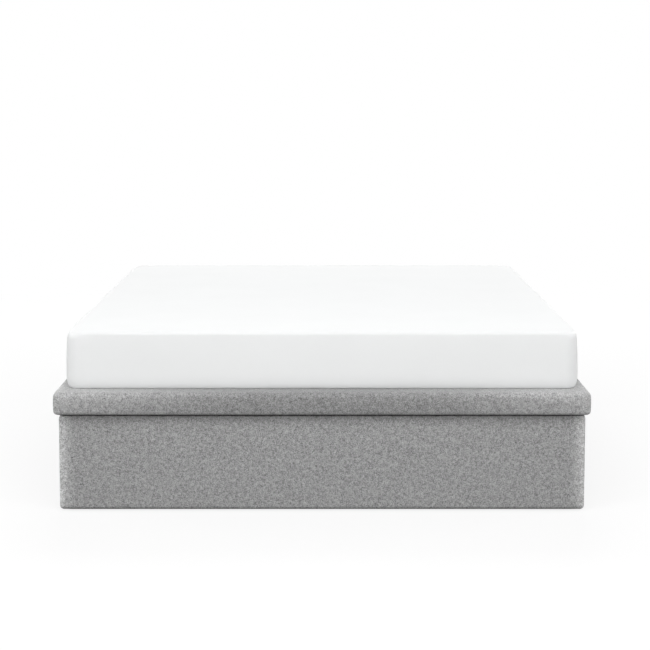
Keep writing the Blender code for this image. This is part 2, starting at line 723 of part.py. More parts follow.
def plate_bolt_places():
    """Side view places of the two bolts of a base plate."""
    low, high = PLATE_BOLT_SHARES
    return [
        tuple(GUIDE_PIVOT.lerp(SPRING_PIVOT, low)),
        tuple(GUIDE_PIVOT.lerp(LIFT_PIVOT, high)),
    ]


def bracket_bolt_places():
    """Places along Y of the two bolts of a lid bracket."""
    return (BRACKET_FRONT_Y + BRACKET_BOLT_INSET, BRACKET_REAR_Y - BRACKET_BOLT_INSET)


def spring_stud(name, start, cutters, side):
    """Stud that carries a gas spring's eye, from inside its plate to a riveted head."""
    eye_outer = SPRING_X + EYE_WIDTH / 2 + CLEAR
    steps = [
        (STUD_RADIUS, start - eye_outer),
        (PIN_RADIUS, EYE_WIDTH + 2 * CLEAR),
        (STUD_RADIUS, PIN_HEAD),
    ]
    return turned(name, stepped_profile(steps), PIN_SEGMENTS, cutters, rotation=ALONG_X[side])


def make_base_plates(parts, cutters, materials, root):
    """Plate bolted to each side board, with the lower stud of the gas spring riveted in."""
    discs = [(pivot, ARM_HALF_WIDTH) for pivot in (GUIDE_PIVOT, SPRING_PIVOT, LIFT_PIVOT)]
    outlines = [hull_outline(discs)]
    outlines += [circle(pivot, PIN_RADIUS + HOLE_FIT) for pivot in (GUIDE_PIVOT, LIFT_PIVOT)]
    outlines += [circle(place, BOLT_RADIUS + HOLE_FIT, PIN_SEGMENTS) for place in plate_bolt_places()]
    for side, sign in SIDES:
        name = f"base_plate_{side}"
        plate = flat_piece(name, outlines, BASE_PLATE, parts, materials["black_steel"], FACE_X)
        attach(plate, (sign * (PLATE_OUTER - BASE_PLATE / 2), 0, 0), root)
        start = PLATE_INNER + BASE_PLATE / 2
        stud = spring_stud(f"spring_stud_base_{side}", start, cutters, sign)
        boolean(plate, stud, "UNION", (sign * start, *SPRING_PIVOT))
        for number, place in enumerate(plate_bolt_places(), 1):
            tip = INNER_X + BOLT_GRIP
            seat = PLATE_INNER - CLEAR
            bolt = turned(
                f"base_plate_bolt_{side}_{number}",
                stepped_profile([(BOLT_RADIUS, tip - seat), (BOLT_HEAD_RADIUS, BOLT_HEAD)]),
                PIN_SEGMENTS,
                parts,
                materials["zinc_steel"],
                ALONG_X[sign],
            )
            attach(bolt, (sign * tip, *place), root)


def make_lift_arms(parts, cutters, materials, lift):
    """Arm from the base plate to the lid bracket, with the upper stud of the gas spring riveted in."""
    outlines = [hull_outline([(LIFT_PIVOT, ARM_HALF_WIDTH), (LIFT_LID_PIVOT, ARM_HALF_WIDTH)])]
    outlines += [circle(pivot, PIN_RADIUS + HOLE_FIT) for pivot in (LIFT_PIVOT, LIFT_LID_PIVOT)]
    outlines = [[Vector(place) - LIFT_PIVOT for place in outline] for outline in outlines]
    for side, sign in SIDES:
        arm = flat_piece(f"lift_arm_{side}", outlines, ARM_THICKNESS, parts, materials["black_steel"], FACE_X)
        attach(arm, (sign * (ARM_OUTER - ARM_THICKNESS / 2), *LIFT_PIVOT), lift)
        start = ARM_INNER + ARM_THICKNESS / 2
        stud = spring_stud(f"spring_stud_arm_{side}", start, cutters, sign)
        boolean(arm, stud, "UNION", (sign * start, *SPRING_ARM_PIVOT))


def make_guide_arms(parts, materials, guide):
    """Longer arm that steers the lid; its lid end runs with play on its pin."""
    outlines = [hull_outline([(GUIDE_PIVOT, ARM_HALF_WIDTH), (GUIDE_LID_PIVOT, ARM_HALF_WIDTH)])]
    outlines.append(circle(GUIDE_PIVOT, PIN_RADIUS + HOLE_FIT))
    outlines.append(circle(GUIDE_LID_PIVOT, PIN_RADIUS + OPEN_PIVOT_FIT))
    outlines = [[Vector(place) - GUIDE_PIVOT for place in outline] for outline in outlines]
    for side, sign in SIDES:
        name = f"guide_arm_{side}"
        arm = flat_piece(name, outlines, ARM_THICKNESS, parts, materials["black_steel"], FACE_X)
        attach(arm, (sign * (GUIDE_OUTER - ARM_THICKNESS / 2), *GUIDE_PIVOT), guide)


def make_lid_brackets(parts, cutters, materials, lid):
    """Angle bracket under each lid side tube: a flange bolted to the tube, a plate with both lid pivots."""
    plate_top = BRACKET_TOP - BRACKET_PLATE / 2 - BRACKET_CORNER
    discs = [
        (GUIDE_LID_PIVOT, BRACKET_LOW_RADIUS),
        (LIFT_LID_PIVOT, BRACKET_PIVOT_RADIUS),
        (Vector((BRACKET_REAR_Y - BRACKET_CORNER, plate_top)), BRACKET_CORNER),
        (Vector((BRACKET_FRONT_Y + BRACKET_CORNER, plate_top)), BRACKET_CORNER),
    ]
    outlines = [hull_outline(discs)]
    outlines += [circle(pivot, PIN_RADIUS + HOLE_FIT) for pivot in (GUIDE_LID_PIVOT, LIFT_LID_PIVOT)]
    length = BRACKET_REAR_Y - BRACKET_FRONT_Y
    centre_y = (BRACKET_REAR_Y + BRACKET_FRONT_Y) / 2
    for side, sign in SIDES:
        name = f"lid_bracket_{side}"
        plate = flat_piece(name, outlines, BRACKET_PLATE, parts, materials["black_steel"], FACE_X)
        attach(plate, (sign * (BRACKET_OUTER - BRACKET_PLATE / 2), 0, 0), lid)
        flange = cuboid(f"bracket_flange_{side}", (BRACKET_FLANGE_WIDTH, length, BRACKET_PLATE), cutters)
        flange_x = BRACKET_OUTER - FLANGE_STEP - BRACKET_FLANGE_WIDTH / 2
        boolean(plate, flange, "UNION", (sign * flange_x, centre_y, BRACKET_TOP - BRACKET_PLATE / 2))
        for number, along in enumerate(bracket_bolt_places(), 1):
            drill = cylinder(
                f"bracket_drill_{side}_{number}",
                BOLT_RADIUS + HOLE_FIT,
                BRACKET_PLATE + 2 * OVERRUN,
                HOLE_SEGMENTS,
                cutters,
            )
            boolean(plate, drill, "DIFFERENCE", (sign * SIDE_TUBE_X, along, BRACKET_TOP))
            seat = BRACKET_TOP - BRACKET_PLATE - CLEAR
            tip = TUBE_BOTTOM + BOLT_GRIP
            bolt = turned(
                f"lid_bracket_bolt_{side}_{number}",
                stepped_profile([(BOLT_RADIUS, tip - seat), (BOLT_HEAD_RADIUS, BOLT_HEAD)]),
                PIN_SEGMENTS,
                parts,
                materials["zinc_steel"],
            )
            attach(bolt, (sign * SIDE_TUBE_X, along, tip), lid)


def drill_lid_cover(parts, cutters):
    """Holes for the bracket bolts through the fabric that is turned under the lid."""
    cover = parts.objects["lid_cover"]
    for side, sign in SIDES:
        for number, along in enumerate(bracket_bolt_places(), 1):
            name = f"cover_punch_{side}_{number}"
            punch = cylinder(name, BOLT_RADIUS + HOLE_FIT, TUBE_WALL + 2 * FABRIC, PIN_SEGMENTS, cutters)
            boolean(cover, punch, "DIFFERENCE", (sign * SIDE_TUBE_X, along, LID_BOTTOM + FABRIC / 2))


def make_pins(parts, materials, root, lid):
    """The four pivot pins on each side, from their outer end inwards."""
    through_arm = (PIN_RADIUS, ARM_THICKNESS + 2 * CLEAR)
    collar = (PIN_HEAD_RADIUS, COLLAR_GAP - 2 * CLEAR)
    pins = [
        (
            "lift_arm_base_pin",
            root,
            LIFT_PIVOT,
            PLATE_OUTER,
            [(PIN_RADIUS, BASE_PLATE + CLEAR), collar, through_arm, (PIN_HEAD_RADIUS, PIN_HEAD)],
        ),
        (
            "guide_arm_base_pin",
            root,
            GUIDE_PIVOT,
            PLATE_OUTER,
            [
                (PIN_RADIUS, BASE_PLATE + CLEAR),
                (SPACER_RADIUS, PLATE_INNER - GUIDE_OUTER - 2 * CLEAR),
                through_arm,
                (PIN_HEAD_RADIUS, PIN_HEAD),
            ],
        ),
        (
            "lift_arm_lid_pin",
            lid,
            LIFT_LID_PIVOT,
            ARM_OUTER + CLEAR + PIN_THIN_HEAD,
            [
                (PIN_HEAD_RADIUS, PIN_THIN_HEAD),
                through_arm,
                collar,
                (PIN_RADIUS, BRACKET_PLATE + 2 * CLEAR),
                (PIN_HEAD_RADIUS, PIN_HEAD),
            ],
        ),
        (
            "guide_arm_lid_pin",
            lid,
            GUIDE_LID_PIVOT,
            BRACKET_OUTER,
            [
                (PIN_RADIUS, BRACKET_PLATE + CLEAR),
                (SPACER_RADIUS, BRACKET_INNER - GUIDE_OUTER - 2 * CLEAR),
                through_arm,
                (OPEN_PIVOT_HEAD_RADIUS, PIN_HEAD),
            ],
        ),
    ]
    zinc = materials["zinc_steel"]
    for name, parent, pivot, outer, steps in pins:
        for side, sign in SIDES:
            profile = stepped_profile(steps)
            pin = turned(f"{name}_{side}", profile, PIN_SEGMENTS, parts, zinc, ALONG_X[sign])
            attach(pin, (sign * outer, *pivot), parent)


def cylinder_profile():
    """Wall of the gas cylinder: its bore from the floor up, then its outside down to the neck."""
    body_start = NECK_END
    body_end = CYLINDER_LENGTH
    inside = body_end - CYLINDER_MOUTH_WALL
    return [
        (0, body_start + CYLINDER_FLOOR),
        (CYLINDER_BORE, body_start + CYLINDER_FLOOR),
        (CYLINDER_BORE, inside),
        (CYLINDER_MOUTH, inside),
        (CYLINDER_MOUTH, body_end),
        (CYLINDER_RADIUS - CYLINDER_CHAMFER, body_end),
        (CYLINDER_RADIUS, body_end - CYLINDER_CHAMFER),
        (CYLINDER_RADIUS, body_start + CYLINDER_CHAMFER),
        (CYLINDER_RADIUS - CYLINDER_CHAMFER, body_start),
        (NECK_RADIUS, body_start),
        (NECK_RADIUS, NECK_START),
        (0, NECK_START),
    ]


def rod_profile():
    """Rod from its neck under the eye down to the piston."""
    return stepped_profile(
        [
            (NECK_RADIUS, NECK_END - NECK_START),
            (ROD_RADIUS, ROD_LENGTH - PISTON_LENGTH - NECK_END),
            (PISTON_RADIUS, PISTON_LENGTH),
        ],
        top=-NECK_START,
    )


def make_gas_springs(parts, cutters, materials, cylinder_axis, rod_axis):
    """Cylinder on the base plate's stud and rod on the lift arm's stud, along one line at rest."""
    lean = (SPRING_ANGLE - math.radians(90), 0, 0)
    rows = [
        ("gas_cylinder", cylinder_profile(), materials["black_steel"], SPRING_PIVOT, cylinder_axis),
        ("gas_rod", rod_profile(), materials["chrome_steel"], SPRING_ARM_PIVOT, rod_axis),
    ]
    for name, profile, material, pivot, parent in rows:
        for side, sign in SIDES:
            place = (sign * SPRING_X, *pivot)
            body = turned(f"{name}_{side}", profile, SPRING_SEGMENTS, parts, material, lean)
            attach(body, place, parent)
            eye = cylinder(f"{name}_eye_{side}", EYE_RADIUS, EYE_WIDTH, SPRING_SEGMENTS, cutters, ALONG_X[1])
            boolean(body, eye, "UNION", place)
            bore = PIN_RADIUS + HOLE_FIT
            drill = cylinder(f"{name}_drill_{side}", bore, 2 * EYE_WIDTH, HOLE_SEGMENTS, cutters, ALONG_X[1])
            boolean(body, drill, "DIFFERENCE", place)


def main():
    """Build the bed."""
    clear_scene()
    parts = new_collection(BED_NAME)
    cutters = new_collection("cutters")
    materials = make_materials()

    root = new_empty("bed_origin", parts, (0, 0, 0))
    lift = new_empty("lift_axis", parts, (0, *LIFT_PIVOT), root)
    lid = new_empty("lid_axis", parts, (0, *LIFT_LID_PIVOT), lift)
    guide = new_empty("guide_axis", parts, (0, *GUIDE_PIVOT), root)
    cylinder_axis = new_empty("cylinder_axis", parts, (0, *SPRING_PIVOT), root)
    rod_axis = new_empty("rod_axis", parts, (0, *SPRING_ARM_PIVOT), lift)

    make_boards(parts, cutters, materials, root)
    make_posts(parts, materials, root)
    make_box_wadding(parts, materials, root)
    make_box_cover(parts, materials, root)
    make_floor(parts, materials, root)
    make_glides(parts, materials, root)
    make_base_plates(parts, cutters, materials, root)
    make_lift_arms(parts, cutters, materials, lift)
    make_guide_arms(parts, materials, guide)
    make_lid_frame(parts, cutters, materials, lid)
    make_lid_pad(parts, materials, lid)
    make_lid_brackets(parts, cutters, materials, lid)
    drill_lid_cover(parts, cutters)
    make_pins(parts, materials, root, lid)
    make_gas_springs(parts, cutters, materials, cylinder_axis, rod_axis)
    make_mattress(parts, materials, lid)
    bpy.context.view_layer.update()


main()
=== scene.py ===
"""Looks of an upholstered ottoman storage bed: fabric box, padded lid on gas springs, white mattress."""

from __future__ import annotations

import json
import logging
import math
from dataclasses import dataclass, field
from enum import Enum
from typing import Any, Sequence

import bpy
import numpy as np
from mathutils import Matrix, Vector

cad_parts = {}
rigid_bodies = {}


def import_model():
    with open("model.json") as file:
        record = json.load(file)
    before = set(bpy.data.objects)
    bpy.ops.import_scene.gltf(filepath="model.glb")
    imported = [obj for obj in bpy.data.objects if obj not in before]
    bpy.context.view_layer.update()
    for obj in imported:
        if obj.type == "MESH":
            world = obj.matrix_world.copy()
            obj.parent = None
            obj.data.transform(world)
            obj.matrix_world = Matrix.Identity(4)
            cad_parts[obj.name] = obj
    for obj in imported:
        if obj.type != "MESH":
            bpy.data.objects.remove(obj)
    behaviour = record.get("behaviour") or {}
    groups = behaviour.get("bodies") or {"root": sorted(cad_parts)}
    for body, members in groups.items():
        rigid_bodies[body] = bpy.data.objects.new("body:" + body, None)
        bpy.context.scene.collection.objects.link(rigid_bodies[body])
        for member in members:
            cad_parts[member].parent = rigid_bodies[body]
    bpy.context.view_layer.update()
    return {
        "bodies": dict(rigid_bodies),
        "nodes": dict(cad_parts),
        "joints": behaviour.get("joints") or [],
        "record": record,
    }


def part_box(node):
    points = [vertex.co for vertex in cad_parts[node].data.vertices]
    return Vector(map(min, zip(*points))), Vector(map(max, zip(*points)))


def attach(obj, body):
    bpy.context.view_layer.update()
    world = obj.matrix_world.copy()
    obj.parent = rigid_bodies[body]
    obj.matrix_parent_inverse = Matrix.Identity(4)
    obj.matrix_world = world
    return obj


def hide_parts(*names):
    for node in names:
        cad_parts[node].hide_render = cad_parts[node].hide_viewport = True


LOG = logging.getLogger("storage_bed")
Tree = bpy.types.NodeTree
Grid = np.ndarray
Floats = Sequence[float]
MM = 0.001
# Name of the point layer of painted light on the cloth: painted highlight above zero, painted shade and
# shadow below.
PAINTED_LIGHT_LAYER = "stretch"
WHITE = (1.0, 1.0, 1.0, 1.0)
SHEEN_ROUGHNESS = 0.45
# A radius that closes a turned piece on its axis, and a length that stands in for none in a division.
POINT = 1e-5
TINY = 1e-9
# An axis whose Z is above this counts as upright, and a turned piece's segments then start from X.
UPRIGHT = 0.9
# Points of a quarter circle round a cloth's edge.
ARC_ROWS = 11
# A Mix node's inputs: its share, two numbers and two colours. One of its outputs is the mixed colour.
SHARE, LOW, HIGH, DARK, LIGHT = 0, 2, 3, 6, 7
MIXED_COLOUR = 2


class Side(Enum):
    """The two sides of the bed, by the sign of X."""

    LEFT = -1
    RIGHT = 1


class Body(Enum):
    """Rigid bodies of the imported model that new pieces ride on."""

    BOX = "box"
    LID = "lid"
    GAS_CYLINDERS = "gas_cylinders"
    GAS_RODS = "gas_rods"


class Grain(Enum):
    """Direction of wood grain, as the axis that it runs along."""

    X = 0
    Y = 1
    Z = 2


def linear(colour: str) -> tuple[float, float, float, float]:
    """Turn an sRGB hex colour to linear: a straight line at the dark end, and a power of 2.4 above it.

    Args:
        colour: six hex digits after a hash.

    Returns:
        Red, green, blue and an opacity of 1.
    """
    coded = [int(colour[start : start + 2], 16) / 255 for start in (1, 3, 5)]
    red, green, blue = (c / 12.92 if c <= 0.04045 else ((c + 0.055) / 1.055) ** 2.4 for c in coded)
    return (red, green, blue, 1.0)


def add_node(tree: Tree, kind: str, inputs: dict[Any, Any] | None = None, **settings: Any) -> Any:
    """Add a node, with its settings, values and links.

    Args:
        tree: the material's node tree.
        kind: the node's type name, without its first word, ShaderNode.
        inputs: a value, an output, or a node for its first output, for each input by name or index.
        settings: attributes of the node.

    Returns:
        The node.
    """
    node = tree.nodes.new("ShaderNode" + kind)
    for name, value in settings.items():
        setattr(node, name, value)
    for key, value in (inputs or {}).items():
        source = value.outputs[0] if isinstance(value, bpy.types.Node) else value
        if isinstance(source, bpy.types.NodeSocket):
            tree.links.new(source, node.inputs[key])
        else:
            node.inputs[key].default_value = source
    return node


@dataclass(frozen=True)
class Pattern:
    """What a finish's textures drive, each a node, an output or None.

    The share runs from the dark colour to the light one, the fleck is a colour laid over that in soft
    light, and the gain multiplies the result. The height is relief, and the gloss runs from the smoother
    end to the rougher one.
    """

    share: Any = None
    fleck: Any = None
    gain: Any = None
    height: Any = None
    gloss: Any = None


@dataclass(frozen=True)
class Finish:
    """A surface finish: one Principled material, dressed by its own pattern.

    Relief is the bump's strength and depth, spread is how far the roughness goes below and above its
    value, and fleck_share is how much of the fleck shows.
    """

    name: str
    dark: str
    light: str
    roughness: float
    metallic: float = 0.0
    sheen: float = 0.0
    specular: float = 0.5
    relief: tuple[float, float] = (0.0, 0.0)
    inverted: bool = False
    spread: tuple[float, float] = (0.0, 0.0)
    fleck_share: float = 0.0

    def build(self) -> bpy.types.Material:
        """Make the material.

        Returns:
            The material, with every socket set or linked.
        """
        material = bpy.data.materials.new(self.name)
        material.use_nodes = True
        tree = material.node_tree
        sockets = tree.nodes["Principled BSDF"].inputs
        plain = {
            "Base Color": tuple(np.mean([linear(self.dark), linear(self.light)], axis=0)),
            "Roughness": self.roughness,
            "Metallic": self.metallic,
            "Sheen Weight": self.sheen,
            "Sheen Roughness": SHEEN_ROUGHNESS,
            "Specular IOR Level": self.specular,
        }
        for name, value in plain.items():
            sockets[name].default_value = value
        for name, output in self.dress(tree).items():
            tree.links.new(output, sockets[name])
        return material

    def dress(self, tree: Tree) -> dict[str, Any]:
        """Carry the pattern to colour, normal and roughness.

        Args:
            tree: the material's node tree.

        Returns:
            An output for each socket that the pattern drives.
        """
        drives = self.pattern(tree, add_node(tree, "TexCoord").outputs["Object"])
        links = {}
        if drives.share is not None:
            colour = self.tone(tree, drives.share)
            if drives.fleck is not None:
                over = {SHARE: self.fleck_share, DARK: colour, LIGHT: drives.fleck}
                laid = add_node(tree, "Mix", over, data_type="RGBA", blend_type="SOFT_LIGHT")
                colour = laid.outputs[MIXED_COLOUR]
            if drives.gain is not None:
                scaled = {0: colour, "Scale": drives.gain}
                colour = add_node(tree, "VectorMath", scaled, operation="SCALE").outputs[0]
            links["Base Color"] = colour
        if drives.height is not None:
            strength, depth = self.relief
            bump = {"Strength": strength, "Distance": depth, "Height": drives.height}
            links["Normal"] = add_node(tree, "Bump", bump, invert=self.inverted).outputs[0]
        if drives.gloss is not None:
            less, more = self.spread
            ends = {"Value": drives.gloss, "To Min": self.roughness - less, "To Max": self.roughness + more}
            links["Roughness"] = add_node(tree, "MapRange", ends).outputs[0]
        return links

    def tone(self, tree: Tree, share: Any) -> Any:
        """The colour between dark and light at a share."""
        ends = {SHARE: share, DARK: linear(self.dark), LIGHT: linear(self.light)}
        return add_node(tree, "Mix", ends, data_type="RGBA").outputs[MIXED_COLOUR]

    def pattern(self, tree: Tree, spot: Any) -> Pattern:
        """What the finish's textures drive, from object coordinates; the plain finish has none."""
        return Pattern()


@dataclass(frozen=True)
class WovenFabric(Finish):
    """Melange upholstery cloth: a plain weave of mottled grey yarns with slubs.

    Real yarns lie about 1 mm apart. They are drawn 1.9 mm apart, so that they show.
    """

    relief: tuple[float, float] = (0.45, 0.5 * MM)
    thread: float = 1.9 * MM
    slub: float = 11 * MM
    fuzz: float = 0.7 * MM
    yarn_step: float = 7.31
    drift_step: float = 0.22
    warp_to_weft: float = 3.0
    contrast: tuple[float, float] = (0.36, 0.64)
    crossing_share: float = 0.55
    slub_share: float = 0.16
    gap_shade: float = 0.67
    crown_shade: float = 1.07
    # Gain of the painted light layer on the cloth's colour.
    painted_light_gain: float = 0.80

    def pattern(self, tree: Tree, spot: Any) -> Pattern:
        """Weave from the piece's UV map in metres, and slubs and fuzz from its object coordinates.

        Two sines over the yarn spacing give the over and under squares, darker between yarns. Each yarn
        has a shade that drifts along it, each crossing has one of its own, and slubs are a slow noise.
        A point layer of painted light multiplies the colour: above zero the cloth is paler, a painted
        highlight, and below zero it is darker, a painted shade.

        Args:
            tree: the material's node tree.
            spot: the piece's object coordinates.

        Returns:
            What the textures drive.
        """
        place = add_node(tree, "SeparateXYZ", {0: add_node(tree, "UVMap", uv_map="UVMap")})
        counts = [
            add_node(tree, "Math", {0: place.outputs[axis], 1: self.thread}, operation="DIVIDE")
            for axis in (0, 1)
        ]
        waves, rows, yarns = [], [], []
        for axis, count in enumerate(counts):
            turn = add_node(tree, "Math", {0: count, 1: math.pi}, operation="MULTIPLY")
            waves.append(add_node(tree, "Math", {0: turn}, operation="SINE"))
            rows.append(add_node(tree, "Math", {0: count}, operation="FLOOR"))
            apart = add_node(tree, "Math", {0: rows[axis], 1: self.yarn_step}, operation="MULTIPLY")
            drift = add_node(tree, "Math", {0: counts[1 - axis], 1: self.drift_step}, operation="MULTIPLY")
            joined = add_node(tree, "CombineXYZ", {0: apart, 1: drift, 2: self.warp_to_weft * axis})
            yarns.append(add_node(tree, "TexNoise", {"Vector": joined, "Scale": 1.0, "Detail": 1.0}))
        cross = add_node(tree, "Math", {0: waves[0], 1: waves[1]}, operation="MULTIPLY")
        over = add_node(tree, "Math", {0: cross, 1: 0.0}, operation="GREATER_THAN")
        height = add_node(tree, "Math", {0: cross}, operation="ABSOLUTE")
        yarn = add_node(tree, "Mix", {SHARE: over, LOW: yarns[0], HIGH: yarns[1]})
        square = add_node(tree, "CombineXYZ", {0: rows[0], 1: rows[1]})
        crossing = add_node(tree, "TexWhiteNoise", {"Vector": square}, noise_dimensions="2D")
        slubs = add_node(tree, "TexNoise", {"Vector": spot, "Scale": 1 / self.slub, "Detail": 1.0})
        low, high = self.contrast
        shade, slubbed = (
            add_node(tree, "MapRange", {"Value": noise, "From Min": low, "From Max": high})
            for noise in (yarn, slubs)
        )
        mottled = add_node(tree, "Mix", {SHARE: self.crossing_share, LOW: shade, HIGH: crossing})
        uneven = add_node(tree, "Mix", {SHARE: self.slub_share, LOW: mottled, HIGH: slubbed})
        # The layer read here is painted light: painted highlight above zero, painted shade and shadow below.
        stretch = add_node(tree, "Attribute", attribute_name=PAINTED_LIGHT_LAYER).outputs["Fac"]
        painted_light = add_node(tree, "Math", {0: stretch, 1: self.painted_light_gain, 2: 1.0}, operation="MULTIPLY_ADD")
        shades = {"Value": height, "To Min": self.gap_shade, "To Max": self.crown_shade}
        between = add_node(tree, "MapRange", shades)
        gain = add_node(tree, "Math", {0: painted_light, 1: between}, operation="MULTIPLY")
        fuzz = add_node(tree, "TexNoise", {"Vector": spot, "Scale": 1 / self.fuzz, "Detail": 2.0})
        raised = add_node(tree, "Math", {0: height, 1: fuzz}, operation="ADD")
        return Pattern(share=uneven, gain=gain, height=raised)


@dataclass(frozen=True)
class KnitFabric(Finish):
    """Stretch knit of a mattress cover: raised loops, and a faint broad drift between two whites.

    Real loops are under 1 mm. They are drawn at 1.7 mm, so that they show close up.
    """

    relief: tuple[float, float] = (0.25, 0.3 * MM)
    inverted: bool = True
    loop: float = 1.7 * MM
    drifts_per_metre: float = 6.0

    def pattern(self, tree: Tree, spot: Any) -> Pattern:
        """Loops as small cells that are high in their middles, and a broad noise between the two whites.

        Args:
            tree: the material's node tree.
            spot: the piece's object coordinates.

        Returns:
            What the textures drive.
        """
        cells = add_node(tree, "TexVoronoi", {"Vector": spot, "Scale": 1 / self.loop, "Randomness": 0.35})
        broad = {"Vector": spot, "Scale": self.drifts_per_metre, "Detail": 2.0, "Roughness": 0.5}
        return Pattern(share=add_node(tree, "TexNoise", broad), height=cells)


@dataclass(frozen=True)
class BondedCloth(Finish):
    """Non-woven lining cloth: fibres pressed together, with rows of fused points.

    Real points lie about 1.5 mm apart. They are drawn 3 mm apart, so that they show.
    """

    relief: tuple[float, float] = (0.4, 0.25 * MM)
    spacing: float = 3.0 * MM
    fused: tuple[float, float] = (0.12, 0.3)
    fibres_per_metre: float = 420.0

    def pattern(self, tree: Tree, spot: Any) -> Pattern:
        """Fused points as even cells that are pressed in at their middles, and fibres as a fine noise.

        Args:
            tree: the material's node tree.
            spot: the piece's object coordinates.

        Returns:
            What the textures drive.
        """
        points = add_node(tree, "TexVoronoi", {"Vector": spot, "Scale": 1 / self.spacing, "Randomness": 0.0})
        fine = {"Vector": spot, "Scale": self.fibres_per_metre, "Detail": 3.0, "Roughness": 0.7}
        low, high = self.fused
        pressed = add_node(tree, "MapRange", {"Value": points, "From Min": low, "From Max": high})
        return Pattern(share=add_node(tree, "TexNoise", fine), height=pressed)


@dataclass(frozen=True)
class SoftFill(Finish):
    """Foam, wadding or felt: a fine uneven surface at the size of its real cells or fibres."""

    relief: tuple[float, float] = (0.5, 0.4 * MM)
    cell: float = 1.2 * MM

    def pattern(self, tree: Tree, spot: Any) -> Pattern:
        """One noise of cells for relief and tone.

        Args:
            tree: the material's node tree.
            spot: the piece's object coordinates.

        Returns:
            What the textures drive.
        """
        cells = add_node(
            tree, "TexNoise", {"Vector": spot, "Scale": 1 / self.cell, "Detail": 3.0, "Roughness": 0.6}
        )
        return Pattern(share=cells, height=cells)


@dataclass(frozen=True)
class Wood(Finish):
    """Planed softwood: growth lines about 7 mm apart, stretched along the grain, with fine pores."""

    relief: tuple[float, float] = (0.35, 0.15 * MM)
    spread: tuple[float, float] = (0.08, 0.1)
    fleck_share: float = 0.25
    grain: Grain = Grain.Z
    line: float = 7.0 * MM
    pores_per_line: float = 9.0
    length_share: float = 0.045
    contrast: tuple[float, float] = (0.32, 0.68)

    def pattern(self, tree: Tree, spot: Any) -> Pattern:
        """Noise drawn out along the grain gives growth lines, and a finer one gives pores.

        Args:
            tree: the material's node tree.
            spot: the piece's object coordinates.

        Returns:
            What the textures drive.
        """
        scale = tuple(self.length_share if axis == self.grain.value else 1.0 for axis in range(3))
        drawn_out = add_node(tree, "Mapping", {"Vector": spot, "Scale": scale})
        growth = {"Scale": 1 / self.line, "Detail": 4.0, "Roughness": 0.55, "Distortion": 0.8}
        fine = {"Scale": self.pores_per_line / self.line, "Detail": 2.0, "Roughness": 0.6}
        lines, pores = (
            add_node(tree, "TexNoise", {"Vector": drawn_out, **noise}) for noise in (growth, fine)
        )
        low, high = self.contrast
        bands = add_node(tree, "MapRange", {"Value": lines, "From Min": low, "From Max": high})
        return Pattern(share=bands, fleck=pores.outputs["Color"], height=pores, gloss=pores)


@dataclass(frozen=True)
class ParticleBoard(Finish):
    """Pressed wood chips with a sanded face: flat light and dark chips lying every way, over fine dust.

    Chips of the fine face are 1 to 3 mm long. They are drawn at 3.6 mm, so that they show.
    """

    relief: tuple[float, float] = (0.4, 0.12 * MM)
    fleck_share: float = 0.35
    middle: str = "#C2A783"
    middle_place: float = 0.45
    chip: float = 3.6 * MM
    chip_slimness: float = 0.45
    lie: tuple[float, float, float] = (0.5, 0.4, 0.3)
    dust: float = 1.3 * MM

    def pattern(self, tree: Tree, spot: Any) -> Pattern:
        """Two sets of cells, each stretched along another axis, give chips of random shade.

        Args:
            tree: the material's node tree.
            spot: the piece's object coordinates.

        Returns:
            What the textures drive.
        """
        chips = []
        for longer in (0, 2):
            scale = tuple(self.chip_slimness if axis == longer else 1.0 for axis in range(3))
            lying = add_node(tree, "Mapping", {"Vector": spot, "Rotation": self.lie, "Scale": scale})
            cells = add_node(tree, "TexVoronoi", {"Vector": lying, "Scale": 1 / self.chip})
            chips.append(add_node(tree, "SeparateColor", {0: cells.outputs["Color"]}))
        dust = add_node(
            tree, "TexNoise", {"Vector": spot, "Scale": 1 / self.dust, "Detail": 3.0, "Roughness": 0.65}
        )
        mixed = add_node(tree, "Mix", {SHARE: dust, LOW: chips[0], HIGH: chips[1]})
        return Pattern(share=mixed, fleck=dust.outputs["Color"], height=dust)

    def tone(self, tree: Tree, share: Any) -> Any:
        """Dark, middle and light chips along a ramp.

        Args:
            tree: the material's node tree.
            share: where along the ramp, from 0 to 1.

        Returns:
            The colour's output.
        """
        shade = add_node(tree, "ValToRGB", {0: share})
        stops = shade.color_ramp.elements
        stops[0].color, stops[1].color = linear(self.dark), linear(self.light)
        stops.new(self.middle_place).color = linear(self.middle)
        return shade.outputs[0]


@dataclass(frozen=True)
class FacedBoard(Finish):
    """Fibreboard with a printed melamine face: a soft print of two greys, and the press plate's pearl.

    A real pearl is about 0.5 mm. It is drawn at 1.1 mm, so that it breaks up the gloss.
    """

    relief: tuple[float, float] = (0.25, 0.1 * MM)
    spread: tuple[float, float] = (0.06, 0.08)
    pearl: float = 1.1 * MM
    print_size: float = 38 * MM

    def pattern(self, tree: Tree, spot: Any) -> Pattern:
        """A broad noise mixes the two printed greys, and a fine one is the pearl in relief and roughness.

        Args:
            tree: the material's node tree.
            spot: the piece's object coordinates.

        Returns:
            What the textures drive.
        """
        broad = {"Vector": spot, "Scale": 1 / self.print_size, "Detail": 5.0, "Roughness": 0.7}
        pearl = add_node(tree, "TexNoise", {"Vector": spot, "Scale": 1 / self.pearl, "Detail": 1.0})
        return Pattern(share=add_node(tree, "TexNoise", broad), height=pearl, gloss=pearl)


@dataclass(frozen=True)
class CoatedSteel(Finish):
    """Powder coated steel: one colour, with the coat's orange peel of about 1.4 mm."""

    relief: tuple[float, float] = (0.2, 0.08 * MM)
    spread: tuple[float, float] = (0.06, 0.08)
    peel: float = 1.4 * MM

    def pattern(self, tree: Tree, spot: Any) -> Pattern:
        """Orange peel as a soft noise in relief and roughness.

        Args:
            tree: the material's node tree.
            spot: the piece's object coordinates.

        Returns:
            What the textures drive.
        """
        peel = add_node(
            tree, "TexNoise", {"Vector": spot, "Scale": 1 / self.peel, "Detail": 1.0, "Roughness": 0.4}
        )
        return Pattern(height=peel, gloss=peel)


